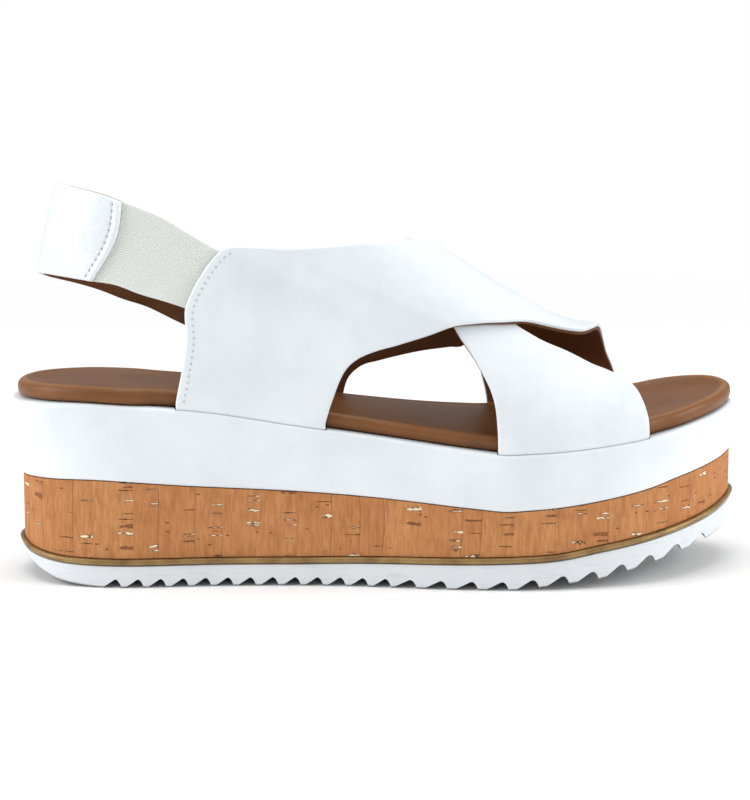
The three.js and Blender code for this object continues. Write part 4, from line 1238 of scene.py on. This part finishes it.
def stitchTree():
    group, n, given, end = geometryGroup("stitches", [
        ("Pitch", "NodeSocketFloat", 0.0024), ("Length", "NodeSocketFloat", 0.0019),
        ("Radius", "NodeSocketFloat", 0.0003), ("Lift", "NodeSocketFloat", 0.0001),
        ("Hole radius", "NodeSocketFloat", 0.0003), ("Unevenness", "NodeSocketFloat", 0.06),
        ("Seed", "NodeSocketInt", 1),
        ("Thread", "NodeSocketMaterial", None), ("Hole shadows", "NodeSocketMaterial", None)])
    curve = n.add("GeometryNodeMeshToCurve", {"Mesh": given["Geometry"]}).outputs[0]
    spread = n.add("GeometryNodeCurveToPoints", {"Curve": curve, "Length": given["Pitch"]}, mode="LENGTH")
    uneven = n.add("FunctionNodeRandomValue", data_type="FLOAT_VECTOR")
    n.put(uneven, 0, (-1.0, -1.0, -1.0))
    n.put(uneven, 1, (1.0, 1.0, 1.0))
    n.put(uneven, "Seed", given["Seed"])
    bent = n.add("ShaderNodeVectorMath", {
        0: uneven.outputs[0], "Scale": given["Unevenness"]}, operation="SCALE").outputs[0]
    along = n.add("ShaderNodeVectorMath", {0: spread.outputs["Tangent"], 1: bent}, operation="ADD").outputs[0]
    turn = n.add("FunctionNodeAxesToRotation", {"Primary Axis": n.named("up"), "Secondary Axis": along},
                 primary_axis="Z", secondary_axis="X").outputs[0]

    def copies(scale, shift, material, rings):
        ball = n.add("GeometryNodeMeshUVSphere", {"Segments": 8, "Rings": rings, "Radius": 1.0}).outputs[0]
        sewn = n.add("GeometryNodeInstanceOnPoints", {
            "Points": spread.outputs["Points"], "Instance": ball, "Rotation": turn, "Scale": scale})
        moved = n.add("GeometryNodeTranslateInstances", {
            "Instances": sewn.outputs[0], "Translation": shift, "Local Space": True}).outputs[0]
        real = n.add("GeometryNodeRealizeInstances", {"Geometry": moved}).outputs[0]
        smooth = n.add("GeometryNodeSetShadeSmooth", {"Geometry": real}).outputs[0]
        return n.add("GeometryNodeSetMaterial", {"Geometry": smooth, "Material": material}).outputs[0]

    half = n.math("MULTIPLY", given["Length"], 0.5)
    size = n.add("ShaderNodeCombineXYZ", {"X": half, "Y": given["Radius"], "Z": given["Radius"]}).outputs[0]
    lift = n.add("ShaderNodeCombineXYZ", {"Z": given["Lift"]}).outputs[0]
    threads = copies(size, lift, given["Thread"], 6)
    # Painted shadow: flat dark discs between the stitches stand in for the shade where the needle went
    # through.
    wide = given["Hole radius"]
    deep = n.math("MULTIPLY", wide, 0.5)
    flat = n.add("ShaderNodeCombineXYZ", {"X": wide, "Y": wide, "Z": deep}).outputs[0]
    aside = n.add("ShaderNodeCombineXYZ", {"X": n.math("MULTIPLY", given["Pitch"], 0.5)}).outputs[0]
    holeShadows = copies(flat, aside, given["Hole shadows"], 4)
    joined = n.add("GeometryNodeJoinGeometry")
    group.links.new(threads, joined.inputs[0])
    group.links.new(holeShadows, joined.inputs[0])
    n.put(end, "Geometry", joined.outputs[0])
    return group


ribGroup = ribTree()
stitchGroup = stitchTree()
threadLook = {
    "pitch": 0.0022, "length": 0.0016, "radius": 0.00024, "lift": 0.00003, "hole": 0.00036,
    "pale": rgb(230, 231, 232),
}
threadPale = flatLook("pale thread", threadLook["pale"], rgb(205, 206, 208), 0.6, 1500.0, 0.4)
# A dark finish for the painted shadow where the needle went through.
holeShadow = flatLook("needle hole shadow", rgb(72, 70, 72), rgb(52, 50, 50), 0.85, 900.0, 0.2)


def stitchPiece(name, points, ups, seed):
    mesh = bpy.data.meshes.new(name)
    mesh.from_pydata(placed(points).tolist(), [(i, i + 1) for i in range(len(points) - 1)], [])
    up = mesh.attributes.new("up", "FLOAT_VECTOR", "POINT")
    up.data.foreach_set("vector", np.asarray(ups, np.float32).ravel())
    piece = bpy.data.objects.new(name, mesh)
    scene.collection.objects.link(piece)
    look = threadLook
    runTree(piece, stitchGroup, {
        "Pitch": look["pitch"], "Length": look["length"], "Radius": look["radius"], "Lift": look["lift"],
        "Hole radius": look["hole"], "Seed": seed, "Thread": threadPale, "Hole shadows": holeShadow})
    return piece


def elasticWeb():
    material, n, shader = newMaterial("elastic web", 0.85, Sheen_Weight=0.25, Sheen_Roughness=0.5,
                                      Specular_IOR_Level=0.2)
    place = n.place()
    uv = n.add("ShaderNodeUVMap", uv_map="UVMap").outputs[0]
    across = n.add("ShaderNodeAttribute", attribute_name="across", attribute_type="GEOMETRY").outputs["Fac"]
    turn = n.math("MULTIPLY", across, 2 * math.pi * slingLook["ribs"])
    # Painted shade: the web is darkened in the grooves between its ribs and, more faintly, between its
    # threads.
    gap = n.between(n.math("COSINE", turn), -0.9, 0.3, (1.0, 0.0))
    threads = n.add("ShaderNodeTexWave", {"Vector": uv, "Scale": 480, "Distortion": 0.6, "Detail": 1},
                    bands_direction="X").outputs["Fac"]
    base = n.mix(n.math("MULTIPLY", gap, 0.55), slingLook["web"], slingLook["webPaintedShade"])
    between = n.math("MULTIPLY", n.between(threads, 0.2, 0.8, (1.0, 0.0)), 0.18)
    base = n.mix(between, base, slingLook["webPaintedShade"])
    base = n.mix(n.math("MULTIPLY", n.noise(place, 90, 3), 0.15), base, slingLook["webTint"])
    n.put(shader, "Base Color", base)
    n.put(shader, "Normal", n.bump(threads, 0.35, 0.0002))
    return material


elasticMaterial = elasticWeb()


def elasticEnd(h):
    return heelFront(h) + slingLook["overlap"] / bandLength


def elasticPiece(name, start, end, steps):
    inner, outer = bandGrid(start, end, steps, level(-halfElastic), level(halfElastic),
                            roundOut=0.3, roundIn=0.3, middle=int(slingLook["ribs"]) * 5)
    piece = sheetPiece(name, inner, outer, sheetUv(outer))
    widths = np.linalg.norm(np.diff(outer, axis=1), axis=2).cumsum(1)
    share = np.concatenate([np.zeros((len(outer), 1)), widths / widths[:, -1:]], 1).ravel()
    attribute = piece.data.attributes.new("across", "FLOAT", "POINT")
    attribute.data.foreach_set("value", np.r_[share, share].astype(np.float32))
    outward = outer - inner
    outward /= np.linalg.norm(outward, axis=-1)[..., None]
    outward = outward.reshape(-1, 3)
    away = piece.data.attributes.new("away", "FLOAT_VECTOR", "POINT")
    away.data.foreach_set("vector", np.vstack([outward, -outward]).astype(np.float32).ravel())
    runTree(piece, ribGroup, {
        "Ribs": slingLook["ribs"], "Depth": slingLook["ribDepth"] * mm, "Material": elasticMaterial})
    size = (np.linalg.norm(np.diff(outer, axis=0), axis=2).sum(0).mean() * mm, widths[:, -1].mean() * mm)
    return piece, size


print("stage: sling")
split, end = slingLook["elasticSplit"], slingLook["heelEnd"]
gap = shoe["gap"] / bandLength
frontElastic, frontSize = elasticPiece("Elastic-front", level(0.0), level(split), 24)
rearElastic, rearSize = elasticPiece("Elastic-rear", level(split), elasticEnd, 30)
for piece in (frontElastic, rearElastic):
    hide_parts("elastic_gore")
heelLeather = wear(bandPiece(
    "Heel-strap-leather", heelFront, level(end), 190, level(heelIn), heelFace,
    roundOut=0.9, roundIn=0.25, middle=30, early=1.6), heelWhite)
heelLining = wear(bandPiece(
    "Heel-strap-lining", lambda h: heelFront(h) + gap, level(end), 110,
    level(-heelIn - shoe["slingLining"]), level(-heelIn), roundOut=0.1, roundIn=0.35), liningBrown)
innerStart, innerSplit = end + gap, slingLook["innerSplit"]
innerPieces = {}
for part, a, b in (("rear", innerStart, innerSplit), ("front", innerSplit, 1.0)):
    leather = wear(bandPiece(
        "Inner-sling-leather-" + part, level(a), level(b), 50, innerIn, innerOut,
        roundOut=0.7, roundIn=0.2, middle=26), heelWhite)
    lining = wear(bandPiece(
        "Inner-sling-lining-" + part, level(a), level(b), 50, innerLiningIn, innerLiningOut,
        roundOut=0.1, roundIn=0.35), liningBrown)
    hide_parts("inner_sling_leather")
    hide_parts("inner_sling_lining")
    innerPieces[part] = (leather, lining)
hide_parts("heel_strap_leather")
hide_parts("heel_strap_lining")

stitchLook = {
    "inset": 2.8, "heelInset": 3.1, "foot": 0.004, "top": 0.97,  # foot and top: shares of the panel's edge
    "innerTop": 0.04, "heelStart": 0.06, "heelEnd": 0.94,
}


def strapSeam(name, strap, start, end, seed, inset):
    v = np.linspace(start, end, 120)
    fine = np.linspace(0, 1, 25)
    x, s = strapSpot(strap, fine[None, :], v[:, None])
    width = np.linalg.norm(np.diff(footSurface(x, s), axis=1), axis=2).sum(1)
    x, s = strapSpot(strap, inset / width, v)
    points = onFoot(x, s, leatherOut + strap["raise"](v))
    return stitchPiece(name, points, footNormal(x, s), seed)


overCorner = straps["over"]["rear"][1]
underCorner = straps["under"]["rear"][1]
outerSeam = strapSeam(
    "Outer-ankle-stitches", straps["over"], stitchLook["foot"], overCorner * stitchLook["top"], 3,
    stitchLook["inset"])
innerSeam = strapSeam(
    "Inner-ankle-stitches", straps["under"], underCorner + (1 - underCorner) * stitchLook["innerTop"],
    1 - stitchLook["foot"], 5, stitchLook["inset"])
h = np.linspace(stitchLook["heelStart"], stitchLook["heelEnd"], 60)
seamT = heelFront(h) + stitchLook["heelInset"] / bandLength
heelPoints = bandPoint(seamT, h, np.full(len(h), heelOut))
heelUps = bandPoint(seamT, h, np.full(len(h), heelOut + 1.0)) - heelPoints
heelSeam = stitchPiece("Heel-strap-stitches", heelPoints, heelUps, 7)
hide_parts("outer_seam_thread")
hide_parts("inner_seam_thread")
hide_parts("heel_end_thread")


def at(x, y, z):
    return tuple(placed([(x, y, z)])[0])


foldStart, foldEnd = at(-60, 0, 106), at(-76, 0, 110)
stretchStart, stretchEnd = at(-84.4, 0, 114.8), at(-96.5, 0, 119.5)  # starts behind the elastic's split
innerStretchStart, innerStretchEnd = at(-80.7, 0, 113.4), at(-100.3, 0, 121)
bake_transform(frontElastic)
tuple(foldStart)
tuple(foldEnd)
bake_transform(rearElastic)
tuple(stretchStart)
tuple(stretchEnd)
for piece in innerPieces["front"]:
    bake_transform(piece)
    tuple(foldStart)
    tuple(foldEnd)
for piece in innerPieces["rear"]:
    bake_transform(piece)
    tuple(innerStretchStart)
    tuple(innerStretchEnd)
for piece in (heelLeather, heelLining, heelSeam):
    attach(piece, "heel_piece")
for piece in (outerSeam, innerSeam):
    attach(piece, "sandal")

for name, look in {
    "wedge_core": flatLook("wedge foam", rgb(214, 199, 174), rgb(196, 178, 150), 0.9, 160.0, 0.3),
    "platform_core": flatLook("platform foam", rgb(226, 220, 207), rgb(206, 198, 182), 0.9, 160.0, 0.3),
    "insole_board": flatLook("insole board", rgb(155, 135, 106), rgb(134, 114, 86), 0.85, 400.0, 0.3),
    "heel_strap_tape": flatLook("seam tape", rgb(232, 230, 223), rgb(214, 210, 200), 0.8, 900.0, 0.3),
}.items():
    wear(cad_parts[name], look)


print("stage: studio")
studioLook = {
    "floor": rgb(251, 251, 251), "floorSize": 400, "fadeFrom": 0.3, "fadeTo": 1.0, "sky": 0.5,
    "distance": 0.9, "azimuth": -3.5, "elevation": 9.0, "target": (0.0, 0.0, 72.0), "lens": 110.25,
    "shiftY": -0.035,
    "lights": (  # name, place, size, power
        ("Top light", (-0.05, 0.1, 1.3), 1.2, 9.0),
        ("Left light", (-1.1, -0.25, 0.5), 0.8, 8.0),
        ("Right light", (1.1, -0.2, 0.5), 0.8, 8.0),
    ),
    "lightTarget": (0, 0, 0.06),
}
bpy.ops.mesh.primitive_plane_add(size=studioLook["floorSize"])
floor = bpy.context.object
floor.name = "Studio floor"
material, n, shader = newMaterial("studio floor", 0.75, Specular_IOR_Level=0.1)
n.put(shader, "Base Color", studioLook["floor"])
reach = n.add("ShaderNodeVectorMath", {0: n.place()}, operation="LENGTH")
n.put(shader, "Alpha", n.between(
    reach.outputs["Value"], studioLook["fadeFrom"], studioLook["fadeTo"], (1.0, 0.0)))
wear(floor, material)

world = bpy.data.worlds.new("studio")
scene.world = world
world.use_nodes = True
n = Nodes(world.node_tree)
seen = n.add("ShaderNodeLightPath").outputs["Is Camera Ray"]
shine = n.math("ADD", n.math("MULTIPLY", seen, 1.0 - studioLook["sky"]), studioLook["sky"])
n.put(world.node_tree.nodes["Background"], "Color", (1, 1, 1, 1))
n.put(world.node_tree.nodes["Background"], "Strength", shine)

camera = bpy.data.objects.new("Camera", bpy.data.cameras.new("Camera"))
scene.collection.objects.link(camera)
scene.camera = camera
a, e = math.radians(studioLook["azimuth"]), math.radians(studioLook["elevation"])
back = Vector((math.sin(a) * math.cos(e), -math.cos(a) * math.cos(e), math.sin(e)))
target = Vector(at(*studioLook["target"]))
camera.location = target + back * studioLook["distance"]
camera.rotation_euler = (-back).to_track_quat("-Z", "Y").to_euler()
camera.data.lens = studioLook["lens"]
camera.data.sensor_fit = "VERTICAL"
camera.data.sensor_height = 36
camera.data.shift_y = studioLook["shiftY"]
camera.data.clip_start = 0.01

for name, spot, size, power in studioLook["lights"]:
    lamp = bpy.data.objects.new(name, bpy.data.lights.new(name, "AREA"))
    scene.collection.objects.link(lamp)
    lamp.location = spot
    aim = Vector(studioLook["lightTarget"]) - Vector(spot)
    lamp.rotation_euler = aim.to_track_quat("-Z", "Y").to_euler()
    lamp.data.size = size
    lamp.data.energy = power

scene.view_settings.view_transform = "Standard"
